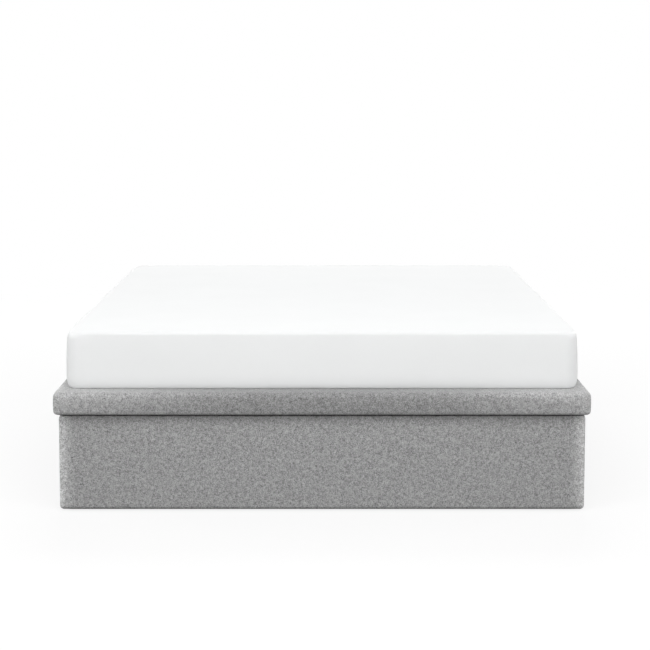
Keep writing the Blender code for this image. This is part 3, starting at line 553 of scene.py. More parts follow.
@dataclass(frozen=True)
class BareMetal(Finish):
    """Plated or ground steel: a metal whose gloss is a little uneven, at the grit of its finishing."""

    metallic: float = 1.0
    spread: tuple[float, float] = (0.08, 0.08)
    grit: float = 0.5 * MM

    def pattern(self, tree: Tree, spot: Any) -> Pattern:
        """Unevenness as noise in the roughness.

        Args:
            tree: the material's node tree.
            spot: the piece's object coordinates.

        Returns:
            What the textures drive.
        """
        fine = {"Vector": spot, "Scale": 1 / self.grit, "Detail": 3.0, "Roughness": 0.6}
        return Pattern(gloss=add_node(tree, "TexNoise", fine))


@dataclass
class Finishes:
    """The bed's finishes, made once each and kept by name."""

    made: dict[str, bpy.types.Material] = field(default_factory=dict)

    def get(self, finish: Finish) -> bpy.types.Material:
        """The material of a finish, made on first use.

        Args:
            finish: the finish wanted.

        Returns:
            Its one material.
        """
        if finish.name not in self.made:
            self.made[finish.name] = finish.build()
        return self.made[finish.name]


# Planed pine: honey coloured growth lines with a low sheen, along each piece's own length.
PINE = {
    grain: Wood(f"planed pine {way}", "#B98650", "#D9B27C", 0.62, grain=grain)
    for way, grain in (("upright", Grain.Z), ("along", Grain.Y), ("across", Grain.X))
}
NODE_FINISHES: dict[str, Finish] = {
    # Wool-look polyester in a plain weave: grainy mid grey, matt with a soft nap, with painted highlights
    # near edges and painted shade laid on its colour.
    "grey_weave": WovenFabric("grey melange weave", "#636363", "#DADADA", 0.95, sheen=0.3, specular=0.2),
    # Polyester knit: an even soft white with hardly any shine, whose loops show only close up.
    "white_knit": KnitFabric("white stretch knit", "#F0F1F1", "#EDEEEE", 0.9, sheen=0.1, specular=0.3),
    # Carded polyester wadding: off-white and fluffy, so coarser than the foam.
    "wadding": SoftFill("white polyester wadding", "#DDDDD9", "#EEEEEA", 0.97, cell=2.5 * MM),
    # Polyurethane foam cut from a block: warm cream, dead matt and open-celled.
    "foam": SoftFill("cream cut foam", "#D9CDAF", "#E8DFC6", 0.95),
    # Spun-bonded polypropylene: flat near-black with no highlight, dimpled in rows.
    "black_cloth": BondedCloth("black bonded lining", "#1A1A1C", "#2D2D30", 0.9),
    # Needled felt: mottled dull grey of short fibres, the dullest surface here.
    "felt": SoftFill("grey needle felt", "#6E6E6E", "#8A8A8A", 0.98, cell=0.8 * MM),
    # Particle board, sanded and left bare: dry pale tan, speckled by its chips.
    "bare_board": ParticleBoard("sanded particle board", "#A08059", "#D6C3A2", 0.82, specular=0.3),
    "pine": PINE[Grain.Z],
    # Melamine-faced fibreboard: smooth mid grey with a broad, broken reflection.
    "faced_board": FacedBoard("grey melamine faced fibreboard", "#7B7B7A", "#868685", 0.48),
    # Powder coat on steel plate and tube: satin black with soft, slightly wavy highlights.
    "black_steel": CoatedSteel("black powder coated steel", "#17181A", "#17181A", 0.42),
    # Bright zinc on screws, pins and staples: pale cool metal with blurred reflections.
    "zinc_steel": BareMetal("bright zinc plated steel", "#C3C5C8", "#C3C5C8", 0.34),
    # Hard chrome, ground: the one near-mirror surface, on the gas rods.
    "ground_steel": BareMetal("ground hard chrome", "#D6D8DA", "#D6D8DA", 0.1, spread=(0.04, 0.04)),
}
NODE_EXCEPTIONS: dict[str, Finish] = {
    "floor_beam": PINE[Grain.X],
    "floor_cleat_left": PINE[Grain.Y],
    "floor_cleat_right": PINE[Grain.Y],
}


@dataclass
class Skin:
    """Grids of points gathered into one mesh."""

    name: str
    points: list[Grid] = field(default_factory=list)
    faces: list[Grid] = field(default_factory=list)
    maps: list[Grid] = field(default_factory=list)
    caps: list[tuple[Grid, Grid]] = field(default_factory=list)
    # Painted light of each point, if any: painted highlight above zero, painted shade below.
    stretch: Grid | None = None
    count: int = 0

    def add_grid(
        self,
        grid: Grid,
        uv: Grid | None = None,
        around: bool = True,
        through: bool = False,
        cap_ends: bool = False,
    ) -> None:
        """Add a grid of points, one row for each step along the profile.

        Args:
            grid: rows by columns by three.
            uv: rows plus one by columns plus one by two, or None for a map of the grid's own steps.
            around: whether the last column joins the first.
            through: whether the last row joins the first.
            cap_ends: whether the first and last rows are filled.
        """
        rows, columns = grid.shape[:2]
        if uv is None:
            steps = np.meshgrid(np.arange(rows + 1), np.arange(columns + 1), indexing="ij")
            uv = np.stack(steps, axis=-1) * MM
        row = np.arange(rows if through else rows - 1)
        column = np.arange(columns if around else columns - 1)
        r, c = np.meshgrid(row, column, indexing="ij")
        places = [(r, c), (r, c + 1), (r + 1, c + 1), (r + 1, c)]
        quads = np.stack([a % rows * columns + b % columns for a, b in places], axis=-1).reshape(-1, 4)
        self.faces.append(quads + self.count)
        self.maps.append(np.stack([uv[a, b] for a, b in places], axis=-2).reshape(-1, 4, 2))
        flat = grid.reshape(-1, 3)
        if cap_ends:
            first = np.arange(columns)
            for ring in (first[::-1], first + (rows - 1) * columns):
                self.caps.append((ring + self.count, flat[ring, :2]))
        self.points.append(flat)
        self.count += rows * columns

    def build(
        self, finishes: Finishes, body: Body, slot: str, *nodes: str, smooth: bool = True
    ) -> bpy.types.Object:
        """Make the piece in its slot's finish.

        Args:
            finishes: the bed's finishes.
            body: what it rides on.
            slot: the record's material slot that it takes its finish from.
            nodes: the CAD nodes that it stands for.
            smooth: whether faces are shaded smooth.

        Returns:
            The object, at the origin, with a UV map in metres.
        """
        quads = np.concatenate(self.faces)
        loops = quads.reshape(-1)
        starts = np.arange(len(quads)) * 4
        totals = np.full(len(quads), 4)
        uv = np.concatenate(self.maps).reshape(-1, 2)
        for ring, flat in self.caps:
            starts = np.append(starts, len(loops))
            totals = np.append(totals, len(ring))
            loops = np.append(loops, ring)
            uv = np.concatenate([uv, flat])
        mesh = bpy.data.meshes.new(self.name)
        mesh.vertices.add(self.count)
        mesh.vertices.foreach_set("co", np.concatenate(self.points).astype(np.float32).reshape(-1))
        mesh.loops.add(len(loops))
        mesh.loops.foreach_set("vertex_index", loops.astype(np.int32))
        mesh.polygons.add(len(starts))
        mesh.polygons.foreach_set("loop_start", starts.astype(np.int32))
        mesh.polygons.foreach_set("loop_total", totals.astype(np.int32))
        mesh.polygons.foreach_set("use_smooth", np.full(len(starts), smooth))
        layer = mesh.uv_layers.new(name="UVMap")
        layer.data.foreach_set("uv", uv.astype(np.float32).reshape(-1))
        # The point layer of painted light that the cloth's colour reads.
        if self.stretch is not None:
            painted_light = mesh.attributes.new(PAINTED_LIGHT_LAYER, "FLOAT", "POINT")
            painted_light.data.foreach_set("value", self.stretch.astype(np.float32).reshape(-1))
        mesh.update(calc_edges=True)
        mesh.validate()
        mesh.materials.append(finishes.get(NODE_FINISHES[slot]))
        item = place_object(self.name, mesh)
        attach(item, body.value)
        if nodes:
            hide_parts(*nodes)
        LOG.info("%s: %d vertices, rides on %s", self.name, len(mesh.vertices), body.value)
        return item


def place_object(name: str, data: Any) -> bpy.types.Object:
    """Make an object and link it to the scene.

    Args:
        name: its name.
        data: its mesh, lamp or camera.

    Returns:
        The object, at the origin.
    """
    item = bpy.data.objects.new(name, data)
    bpy.context.scene.collection.objects.link(item)
    return item


@dataclass(frozen=True)
class RingPath:
    """Samples round a rounded rectangle, anticlockwise from its right side's low end."""

    along: int = 96
    corner: int = 12
    sine_share: float = 0.65

    def square(self) -> tuple[Grid, Grid]:
        """Unit square path and outward normal of each sample.

        Side samples crowd towards the corners as a blend of a straight and a sine law. Corner samples stay
        at the square's corner while the normal turns.

        Returns:
            Square coordinates and normals, each samples by two.
        """
        step = np.linspace(-1, 1, self.along, endpoint=False)[1:]
        step = (1 - self.sine_share) * step + self.sine_share * np.sin(step * np.pi / 2)
        turn = np.linspace(0, np.pi / 2, self.corner + 1)
        arc = np.stack([np.cos(turn), np.sin(turn)], axis=-1)
        places = np.concatenate([np.stack([np.ones_like(step), step], axis=-1), np.ones_like(arc)])
        normals = np.concatenate([np.tile([1.0, 0.0], (len(step), 1)), arc])
        angles = np.arange(4) * np.pi / 2
        turns = [np.array([[np.cos(a), np.sin(a)], [-np.sin(a), np.cos(a)]]) for a in angles]
        return np.concatenate([places @ t for t in turns]), np.concatenate([normals @ t for t in turns])

    def rings(
        self, half: Floats, profile: Grid, corner: float, least: float, pull: float, run: float, reach: float
    ) -> tuple[Grid, Grid, Grid]:
        """Sweep a profile of inset and height round the path.

        A point is the square path times the half size less inset and radius, plus the normal times the
        radius. Near a corner it is drawn in by the pull, which fades as a square over the run.

        Args:
            half: half sizes of the outer outline.
            profile: rows of inset and height.
            corner: corner radius of the outer outline.
            least: smallest corner radius that an inset leaves.
            pull: how far corners are drawn in.
            run: length over which the pull fades.
            reach: inset past which there is no pull.

        Returns:
            Points, outward normals and UV map.
        """
        square, outward = self.square()
        inset, height = profile.T[..., None]
        radius = np.maximum(corner - inset, least)
        size = np.asarray(half)[None, None, :]
        straight = size - inset[..., None] - radius[..., None]
        flat = square[None] * straight + outward[None] * radius[..., None]
        from_corner = size[..., ::-1] - inset[..., None] - np.abs(flat[..., ::-1])
        fade = np.clip(1 - from_corner / run, 0, 1) ** 2
        keep = np.where(inset <= reach, 1.0, 0.0)[..., None]
        flat = flat - pull * keep * square[None] * fade
        shape = flat.shape[:2] + (1,)
        points = np.concatenate([flat, np.broadcast_to(height[..., None], shape)], axis=-1)
        slope = np.gradient(profile, axis=0)
        slope = slope / np.maximum(np.linalg.norm(slope, axis=1, keepdims=True), TINY)
        rise, lean = slope.T[..., None, None]
        normals = np.concatenate([outward[None] * lean, np.broadcast_to(rise, shape)], axis=-1)
        edge = square * (np.asarray(half) - corner) + outward * corner
        steps = np.linalg.norm(np.roll(edge, -1, axis=0) - edge, axis=1)
        rises = np.linalg.norm(np.diff(profile, axis=0, append=profile[:1]), axis=1)
        u, v = (np.concatenate([[0.0], np.cumsum(lengths)]) for lengths in (steps, rises))
        return points, normals, np.stack(np.broadcast_arrays(u[None, :], v[:, None]), axis=-1)


def edge_arc(edge: float, layer: float, level: float, sign: int) -> Grid:
    """Inset and height round an edge, from the upright face to the flat one: a quarter circle.

    Args:
        edge: the outer surface's radius.
        layer: depth of the points under that surface.
        level: height of the outer flat face.
        sign: 1 for an upper edge and -1 for a lower one.

    Returns:
        Rows of inset and height.
    """
    turn = np.radians(np.linspace(0, 90, ARC_ROWS))
    radius = edge - layer
    height = level - sign * edge + sign * radius * np.sin(turn)
    return np.stack([edge - radius * np.cos(turn), height], axis=-1)


def densify(profile: Grid, spacing: float) -> Grid:
    """Add evenly spaced points where a profile's steps are longer than the spacing.

    Args:
        profile: rows of inset and height.
        spacing: longest step that is left.

    Returns:
        Rows of inset and height.
    """
    pieces = []
    for first, second in zip(profile[:-1], profile[1:]):
        count = max(1, math.ceil(float(np.linalg.norm(second - first)) / spacing))
        pieces.append(first + (second - first) * np.linspace(0, 1, count, endpoint=False)[:, None])
    return np.concatenate(pieces + [profile[-1:]])


def soft_waves(points: Grid, size: float, seed: int) -> Grid:
    """A slow uneven field from about -1 to 1: a sum of sines along seeded directions, scaled to that range.

    Args:
        points: rows by columns by three.
        size: typical length of a wave.
        seed: which field.

    Returns:
        The field at each point.
    """
    chance = np.random.default_rng(seed)
    total = np.zeros(points.shape[:2])
    count, typical_peak = 9, 1.5
    shortest, longest = 0.6, 1.7
    for _ in range(count):
        direction = chance.normal(size=3)
        direction *= 2 * np.pi / (size * chance.uniform(shortest, longest) * np.linalg.norm(direction))
        total += np.sin(points @ direction + chance.uniform(0, 2 * np.pi))
    return total / math.sqrt(count) / typical_peak


def corner_gap(points: Grid, half: Floats) -> Grid:
    """Distance of each point from the nearest upright edge of an outline, measured along its side."""
    return (np.asarray(half) - np.abs(points[..., :2])).max(axis=-1)


def edge_painted_highlight(points: Grid, half: Floats, reach: float, power: float = 1.15) -> Grid:
    """Share of a painted highlight on the cloth: 1 at an upright edge, falling by a power to 0 at the reach.
    """
    return np.clip(1 - corner_gap(points, half) / reach, 0, 1) ** power


@dataclass
class BoxUpholstery:
    """Fabric sleeve of the box, turned in over its top edge as a flap and under its bottom edge."""

    finishes: Finishes
    edge: float = 11 * MM
    top_edge: float = 14 * MM
    fabric: float = 2 * MM
    pull: float = 2.5 * MM
    run: float = 45 * MM
    board_face: float = 23.6 * MM
    flap_back: float = 23.9 * MM
    flap_drop: float = 30 * MM
    fold_corner: float = 3 * MM
    fold_rows: int = 6
    spacing: float = 9 * MM
    face_share: float = 0.6
    sag: float = 0.35 * MM
    sag_size: float = 420 * MM
    sag_inward: float = 0.4
    pucker: float = 0.175 * MM
    pucker_pitch: float = 34 * MM
    pucker_drift: float = 300 * MM
    pucker_wander: float = 3.0
    pucker_reach_top: float = 20 * MM
    pucker_reach_bottom: float = 16 * MM
    # Reach of the painted highlight near the box's upright edges.
    painted_highlight_reach: float = 44 * MM
    # Painted shadow under the lid's overhang: its strength and its reach below the top.
    painted_shadow_under_lid: float = 0.46
    painted_shadow_under_lid_reach: float = 22 * MM
    path: RingPath = field(default_factory=RingPath)

    def profile(self, bottom: float, top: float) -> Grid:
        """Closed section of the sleeve: outside, flap and back.

        Args:
            bottom: height of the underside.
            top: height of the top.

        Returns:
            Rows of inset and height.
        """
        flap_front = self.flap_back + self.fabric
        turn = np.radians(np.linspace(90, 0, self.fold_rows))
        flap_bottom = top - self.flap_drop
        back_top = [self.flap_back, top - self.fabric]
        parts = [
            np.array([[self.board_face, bottom]]),
            edge_arc(self.edge, 0, bottom, -1)[::-1],
            edge_arc(self.top_edge, 0, top, 1),
            np.stack([np.cos(turn), np.sin(turn)], axis=-1) * self.fabric + back_top,
            np.array([[flap_front, flap_bottom], [self.flap_back, flap_bottom], back_top]),
            edge_arc(self.top_edge, self.fabric, top, 1)[::-1],
            edge_arc(self.edge, self.fabric, bottom, -1),
            np.array([[self.board_face, bottom + self.fabric]]),
        ]
        return densify(np.concatenate(parts), self.spacing)

    def build(self) -> None:
        """Build the sleeve over the box cover's place.

        Its outside moves along the normals by a slow drape, and by puckers: sines along the edge that decay
        exponentially away from the top and bottom edges.
        """
        low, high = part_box("box_cover")
        half = (high.x, high.y)
        profile = self.profile(low.z, high.z)
        points, normals, uv = self.path.rings(
            half, profile, self.edge, self.fold_corner, self.pull, self.run, self.edge
        )
        inset, height = profile.T[..., None]
        outer = np.where(np.arange(len(profile))[:, None] < np.argmax(profile[:, 0]), 1.0, 0.0)
        face = outer * np.clip(1 - inset / (self.edge * self.face_share), 0, 1)
        drape = soft_waves(points, self.sag_size, seed=4) - self.sag_inward
        near_top = np.exp(-((high.z - height) / self.pucker_reach_top))
        near_bottom = np.exp(-((height - low.z) / self.pucker_reach_bottom))
        turns = uv[:-1, :-1, 0] * 2 * np.pi / self.pucker_pitch
        folds = np.sin(turns + self.pucker_wander * soft_waves(points, self.pucker_drift, seed=9))
        moved = self.sag * drape + self.pucker * (near_top + near_bottom) * folds
        points = points + normals * (face * moved)[..., None]
        # Painted shadow of the lid's overhang: a band darker than the cloth's own colour, a half Gauss hump
        # below the top, taken from the painted highlight near the upright edges.
        painted_shadow = self.painted_shadow_under_lid * outer * np.exp(-(((high.z - height) / self.painted_shadow_under_lid_reach) ** 2))
        skin = Skin("box_upholstery", stretch=edge_painted_highlight(points, half, self.painted_highlight_reach) - painted_shadow)
        skin.add_grid(points, uv, through=True)
        skin.build(self.finishes, Body.BOX, "grey_weave", "box_cover")


@dataclass
class LidUpholstery:
    """Fabric over the lid's foam: rounded edges, slightly full sides, turned under and stapled."""

    finishes: Finishes
    top_edge: float = 13 * MM
    bottom_edge: float = 8 * MM
    corner: float = 18 * MM
    fabric: float = 2 * MM
    pull: float = 2 * MM
    run: float = 45 * MM
    pull_reach: float = 79.2 * MM
    flange: float = 95 * MM
    flat: float = 80 * MM
    fold_corner: float = 3 * MM
    spacing: float = 8 * MM
    face_share: float = 0.8
    fullness: tuple[float, float] = (1.8 * MM, 3.6 * MM)
    drawn_in: float = 0.4
    sag: float = 0.45 * MM
    sag_size: float = 380 * MM
    sag_inward: float = 0.35
    # Painted highlight near the lid's upright edges: its strength and reach.
    corner_painted_highlight: float = 0.45
    painted_highlight_reach: float = 70 * MM
    # Painted highlight on the lid near its corners: a share all over and a hump over the top edge.
    top_edge_painted_highlight: float = 0.27
    top_edge_painted_highlight_all_over: float = 0.5
    top_edge_painted_highlight_reach: float = 20 * MM
    # Painted shade towards the middle of each side, more on top, fading in near the corners.
    middle_painted_shade: float = 0.25
    painted_light_corner_reach: float = 340 * MM
    painted_shade_more_on_top: float = 0.7
    top_from: float = 8 * MM
    top_run: float = 10 * MM
    path: RingPath = field(default_factory=RingPath)

    def profile(self, bottom: float, top: float) -> Grid:
        """Section from the top's middle round the outside to the flange, and back inside.

        Args:
            bottom: height of the underside.
            top: height of the top.

        Returns:
            Rows of inset and height.
        """
        parts = [
            np.array([[self.flat, top]]),
            edge_arc(self.top_edge, 0, top, 1)[::-1],
            edge_arc(self.bottom_edge, 0, bottom, -1),
            np.array([[self.flange, bottom], [self.flange, bottom + self.fabric]]),
            edge_arc(self.bottom_edge, self.fabric, bottom, -1)[::-1],
            edge_arc(self.top_edge, self.fabric, top, 1),
            np.array([[self.flat, top - self.fabric]]),
        ]
        return densify(np.concatenate(parts), self.spacing)

    def build(self) -> None:
        """Build the cover over the lid cover's place.

        Its sides belly out as a parabola of the height, more on the ends than on the long sides, and carry
        a slow drape.
        """
        low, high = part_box("lid_cover")
        half = (high.x, high.y)
        profile = self.profile(low.z, high.z)
        points, normals, uv = self.path.rings(
            half, profile, self.corner, self.fold_corner, self.pull, self.run, self.pull_reach
        )
        normals = -normals
        inset, height = profile.T[..., None]
        outer = np.where(np.arange(len(profile))[:, None] <= np.argmax(profile[:, 0]), 1.0, 0.0)
        side = outer * np.clip(1 - inset / (self.top_edge * self.face_share), 0, 1)
        middle = (low.z + high.z) / 2
        belly = np.clip(1 - ((height - middle) / ((high.z - low.z) / 2)) ** 2, 0, 1)
        drape = soft_waves(points, self.sag_size, seed=21) - self.sag_inward
        endways = np.abs(normals[..., 1]) / np.maximum(np.linalg.norm(normals[..., :2], axis=-1), TINY)
        least, most = self.fullness
        full = least + (most - least) * endways
        points = points + normals * (side * (full * (belly - self.drawn_in) + self.sag * drape))[..., None]
        skin = Skin("lid_upholstery", stretch=self.painted_light_map(points, half, inset, height, middle, high.z))
        skin.add_grid(points, uv, cap_ends=True)
        skin.build(self.finishes, Body.LID, "grey_weave", "lid_cover")

    def painted_light_map(self, points: Grid, half: Floats, inset: Grid, height: Grid, middle: float, top: float) -> Grid:
        """Painted light on the cloth: a painted highlight where above zero, painted shade where below.

        Near the corners there is a painted highlight: a share all over, a Gauss hump over the top edge, and
        a band at the upright edges. Painted shade darkens it towards the middle of each side, most on top.

        Args:
            points: rows by columns by three.
            half: half sizes of the outline.
            inset: how far in each row lies.
            height: how high each row lies.
            middle: height of the sides' middle.
            top: height of the top.

        Returns:
            The painted light of each point, rows by columns.
        """
        away = np.hypot(inset, top - height)
        near_corner = np.exp(-((corner_gap(points, half) / self.painted_light_corner_reach) ** 2))
        over_edge = np.exp(-((away / self.top_edge_painted_highlight_reach) ** 2))
        painted_light = self.top_edge_painted_highlight * (self.top_edge_painted_highlight_all_over + over_edge) * near_corner
        corners = self.corner_painted_highlight * edge_painted_highlight(points, half, self.painted_highlight_reach)
        on_top = np.clip((inset - self.top_from) / self.top_run, 0, 1) * (height > middle)
        middle_painted_shade = self.middle_painted_shade * (1 - near_corner) * (1 + self.painted_shade_more_on_top * on_top)
        return np.maximum(corners, painted_light) - middle_painted_shade


@dataclass
class Mattress:
    """White mattress: rolled edges, sides that are full low down and draw in above, and a low crown."""

    finishes: Finishes
    corner: float = 40 * MM
    top_roll: float = 8 * MM
    bottom_roll: tuple[float, float] = (12 * MM, 38 * MM)
    bulge_height: float = 45 * MM
    draw_in: float = 5 * MM
    crown: float = 1.5 * MM
    crown_run: float = 500 * MM
    crown_power: float = 1.5
    top_reach: tuple[float, float] = (8 * MM, 620 * MM)
    turn_rows: int = 14
    top_rows: int = 26
    bow: float = 2 * MM
    bow_run: float = 300 * MM
    spacing: float = 7 * MM
    ripple: float = 0.5 * MM
    ripple_size: float = 350 * MM
    ripple_inward: float = 0.5
    ripple_fade: tuple[float, float] = (20 * MM, 15 * MM)
    shoulder: float = 11 * MM
    shoulder_drop: float = 0.35
    shoulder_depth: float = 20 * MM
    shoulder_reach: float = 50 * MM
    shoulder_inset: float = 30 * MM
    path: RingPath = field(default_factory=lambda: RingPath(along=120, corner=18))

    def profile(self, thickness: float) -> Grid:
        """Section from the bottom's edge up the side and over the top to near its middle.

        The side turns in at the bottom as a quarter of a tall ellipse. Its inset grows as the square of the
        height above the bulge, and the crown follows a power of the sine of the inset.

        Args:
            thickness: height of the top's edge.

        Returns:
            Rows of inset and height.
        """
        turn = np.radians(np.linspace(0, 90, self.turn_rows))
        inward, upward = self.bottom_roll
        low = np.stack([inward * (1 - np.sin(turn)), upward * (1 - np.cos(turn))], axis=-1)
        side_top = thickness - self.top_roll
        rolled = side_top + self.top_roll * np.sin(turn)
        high = np.stack([self.top_roll * (1 - np.cos(turn)), rolled], axis=-1)
        section = densify(np.concatenate([low, high]), self.spacing)
        rise = np.clip(section[:, 1] - self.bulge_height, 0, None) / (thickness - self.bulge_height)
        section[:, 0] += self.draw_in * rise**2
        across = np.geomspace(*self.top_reach, self.top_rows)
        crown = self.crown * np.sin(np.clip(across / self.crown_run, 0, 1) * np.pi / 2) ** self.crown_power
        return np.concatenate([section, np.stack([section[-1, 0] + across, thickness + crown], axis=-1)])

    def round_shoulders(
        self, points: Grid, normals: Grid, profile: Grid, half: Floats, thickness: float
    ) -> None:
        """Make the top's corners rounder than its edges, in place.

        They move in and down by a square of the height, a Gauss hump along the edge and a decay with the
        inset.

        Args:
            points: rows by columns by three, round the middle of the underside.
            normals: their outward normals.
            profile: rows of inset and height.
            half: half sizes of the outline.
            thickness: height of the top's edge.
        """
        side = normals[np.argmin(np.abs(profile[:, 1] - thickness / 2)), :, :2]
        outward = side / np.linalg.norm(side, axis=-1, keepdims=True)
        inset, height = profile.T[..., None]
        rise = np.clip(1 - (thickness - height) / self.shoulder_depth, 0, 1) ** 2
        along = (corner_gap(points, half) / self.shoulder_reach) ** 2
        turned_in = self.shoulder * rise * np.exp(-along - inset / self.shoulder_inset)
        points[..., :2] -= outward * turned_in[..., None]
        points[..., 2] -= self.shoulder_drop * turned_in

    def build(self) -> None:
        """Build the mattress over its node's place, with a slow ripple on its sides."""
        low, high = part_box("mattress")
        thickness = high.z - low.z - self.crown
        half = ((high.x - low.x) / 2, (high.y - low.y) / 2)
        profile = self.profile(thickness)
        points, normals, uv = self.path.rings(
            half, profile, self.corner, self.top_roll, self.bow, self.bow_run, half[0]
        )
        self.round_shoulders(points, normals, profile, half, thickness)
        points = points + np.array([(low.x + high.x) / 2, (low.y + high.y) / 2, low.z])
        height = profile[:, 1:]
        above, below = self.ripple_fade
        side = np.clip(height / above, 0, 1) * np.clip((thickness - height) / below, 0, 1)
        waves = soft_waves(points, self.ripple_size, seed=33) - self.ripple_inward
        points = points + normals * (self.ripple * side * waves)[..., None]
        skin = Skin("mattress_cover")
        skin.add_grid(points, uv, cap_ends=True)
        skin.build(self.finishes, Body.LID, "white_knit", "mattress")


@dataclass
class Lining:
    """Cloth stapled across the lid's underside, drawn flat with faint ripples."""

    finishes: Finishes
    steps: tuple[int, int] = (90, 120)
    ripple: float = 0.125 * MM
    ripple_size: float = 250 * MM
    fade_power: int = 6

    def build(self) -> None:
        """A sheet on a grid of X and Y, with a ripple that fades to its edges, and its back above it."""
        low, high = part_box("lid_under_cloth")
        x = np.linspace(low.x, high.x, self.steps[0])
        y = np.linspace(low.y, high.y, self.steps[1])
        grid = np.stack(np.meshgrid(x, y, indexing="ij") + [np.full(self.steps, low.z)], axis=-1)
        middle = np.array([(low.x + high.x) / 2, (low.y + high.y) / 2])
        away = np.abs(grid[..., :2] - middle) / np.array([(high.x - low.x) / 2, (high.y - low.y) / 2])
        fade = np.prod(1 - away**self.fade_power, axis=-1)
        lower = grid.copy()
        lower[..., 2] += self.ripple * (1 + soft_waves(grid, self.ripple_size, seed=5)) * fade
        upper = lower.copy()
        upper[..., 2] = high.z
        skin = Skin("lining_cloth")
        skin.add_grid(lower[:, ::-1], around=False)
        skin.add_grid(upper, around=False)
        item = skin.build(self.finishes, Body.LID, "black_cloth", "lid_under_cloth")


@dataclass
class Staples:
    """Rows of staples that hold turned-in fabric."""

    finishes: Finishes
    length: float = 10 * MM
    width: float = 1.2 * MM
    proud: float = 0.5 * MM
    wire_share: float = 0.4
    pitch: float = 55 * MM
    below_top: float = 22 * MM
    from_flange: float = 9 * MM

    def bar(self) -> Grid:
        """One staple's crown as a closed tube of four sides along X, standing on Z with its ends sunk.

        Rows are shares of the length and of the height, and corners are shares of the width and of the wire.

        Returns:
            Four rows by four corners by three.
        """
        x = np.array([-0.5, -0.42, 0.42, 0.5]) * self.length
        rise = np.array([-0.2, 1.0, 1.0, -0.2]) * self.proud
        wire = [self.width, self.proud * self.wire_share]
        side = np.array([[-0.5, 0], [0.5, 0], [0.35, 1], [-0.35, 1]]) * wire
        grid = np.empty((4, 4, 3))
        grid[..., 0] = x[:, None]
        grid[..., 1] = side[:, 0]
        grid[..., 2] = side[:, 1] + rise[:, None]
        return grid

    def place(self, name: str, body: Body, centres: Grid, along: Grid, out: Grid) -> None:
        """Put a staple at each centre.

        Args:
            name: the piece's name.
            body: what it rides on.
            centres: places, count by three.
            along: direction of each staple's length.
            out: outward direction of the surface at each.
        """
        bar = self.bar()
        skin = Skin(name)
        for centre, axes in zip(centres, np.stack([along, np.cross(out, along), out], axis=1)):
            skin.add_grid(bar @ axes + centre, around=True, cap_ends=True)
        skin.build(self.finishes, body, "zinc_steel", smooth=False)

    def ring(self, half: Floats, height: float) -> tuple[Grid, Grid, Grid]:
        """Places for staples round a rectangle.

        Args:
            half: half sizes of the rectangle.
            height: where it lies.

        Returns:
            Places, directions along each side and directions inwards, each count by three.
        """
        rows = []
        for axis, sign in ((0, 1), (0, -1), (1, 1), (1, -1)):
            other = 1 - axis
            reach = half[other] - self.pitch
            count = int(2 * reach / self.pitch)
            centres, along, inward = np.zeros((3, count, 3))
            centres[:, axis] = sign * half[axis]
            centres[:, other] = np.linspace(-reach, reach, count)
            centres[:, 2] = height
            along[:, other] = 1
            inward[:, axis] = -sign
            rows.append((centres, along, inward))
        centres, along, inward = (np.concatenate(column) for column in zip(*rows))
        return centres, along, inward

    def build(self) -> None:
        """Staples in the box's flap and in the lid's turned-under fabric."""
        _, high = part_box("box_cover")
        sleeve = BoxUpholstery(self.finishes)
        inset = sleeve.flap_back + sleeve.fabric
        centres, along, inward = self.ring((high.x - inset, high.y - inset), high.z - self.below_top)
        self.place("flap_staples", Body.BOX, centres, along, inward)
        low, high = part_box("lid_cover")
        inset = LidUpholstery(self.finishes).flange - self.from_flange
        centres, along, _ = self.ring((high.x - inset, high.y - inset), low.z)
        self.place("lid_staples", Body.LID, centres, along, np.tile([0.0, 0.0, -1.0], (len(centres), 1)))


def lathe(profile: Grid, centre: Floats, axis: Floats, segments: int = 48) -> Grid:
    """Turn a profile of radius and place along an axis.

    Args:
        profile: rows of radius and distance along the axis.
        centre: where distance is zero.
        axis: unit direction.
        segments: steps round the axis.

    Returns:
        Rows by segments by three.
    """
    direction = np.asarray(axis, float)
    side = np.cross(direction, [1.0, 0.0, 0.0] if abs(direction[2]) > UPRIGHT else [0.0, 0.0, 1.0])
    side /= np.linalg.norm(side)
    turn = np.linspace(0, 2 * np.pi, segments, endpoint=False)[:, None]
    ring = np.cos(turn) * side + np.sin(turn) * np.cross(direction, side)
    middles = np.asarray(centre) + profile[:, 1][:, None] * direction
    return profile[:, 0][:, None, None] * ring[None] + middles[:, None]


def rounded_steps(
    steps: Sequence[tuple[float, float]], start: float, bevel: float = 0.4 * MM, most: float = 0.3
) -> Grid:
    """Profile of a stepped pin, from its start, with every outer corner eased.

    Args:
        steps: radius and length of each step.
        start: where the first step starts.
        bevel: size of the eased corners.
        most: largest share of a step's length that one corner takes.

    Returns:
        Rows of radius and distance.
    """
    rows = [(POINT, start)]
    place = start
    for radius, length in steps:
        ease = min(bevel, length * most)
        rows += [(radius - ease, place), (radius, place + ease)]
        place += length
        rows += [(radius, place - ease), (radius - ease, place)]
    rows.append((POINT, place))
    return np.array(rows)


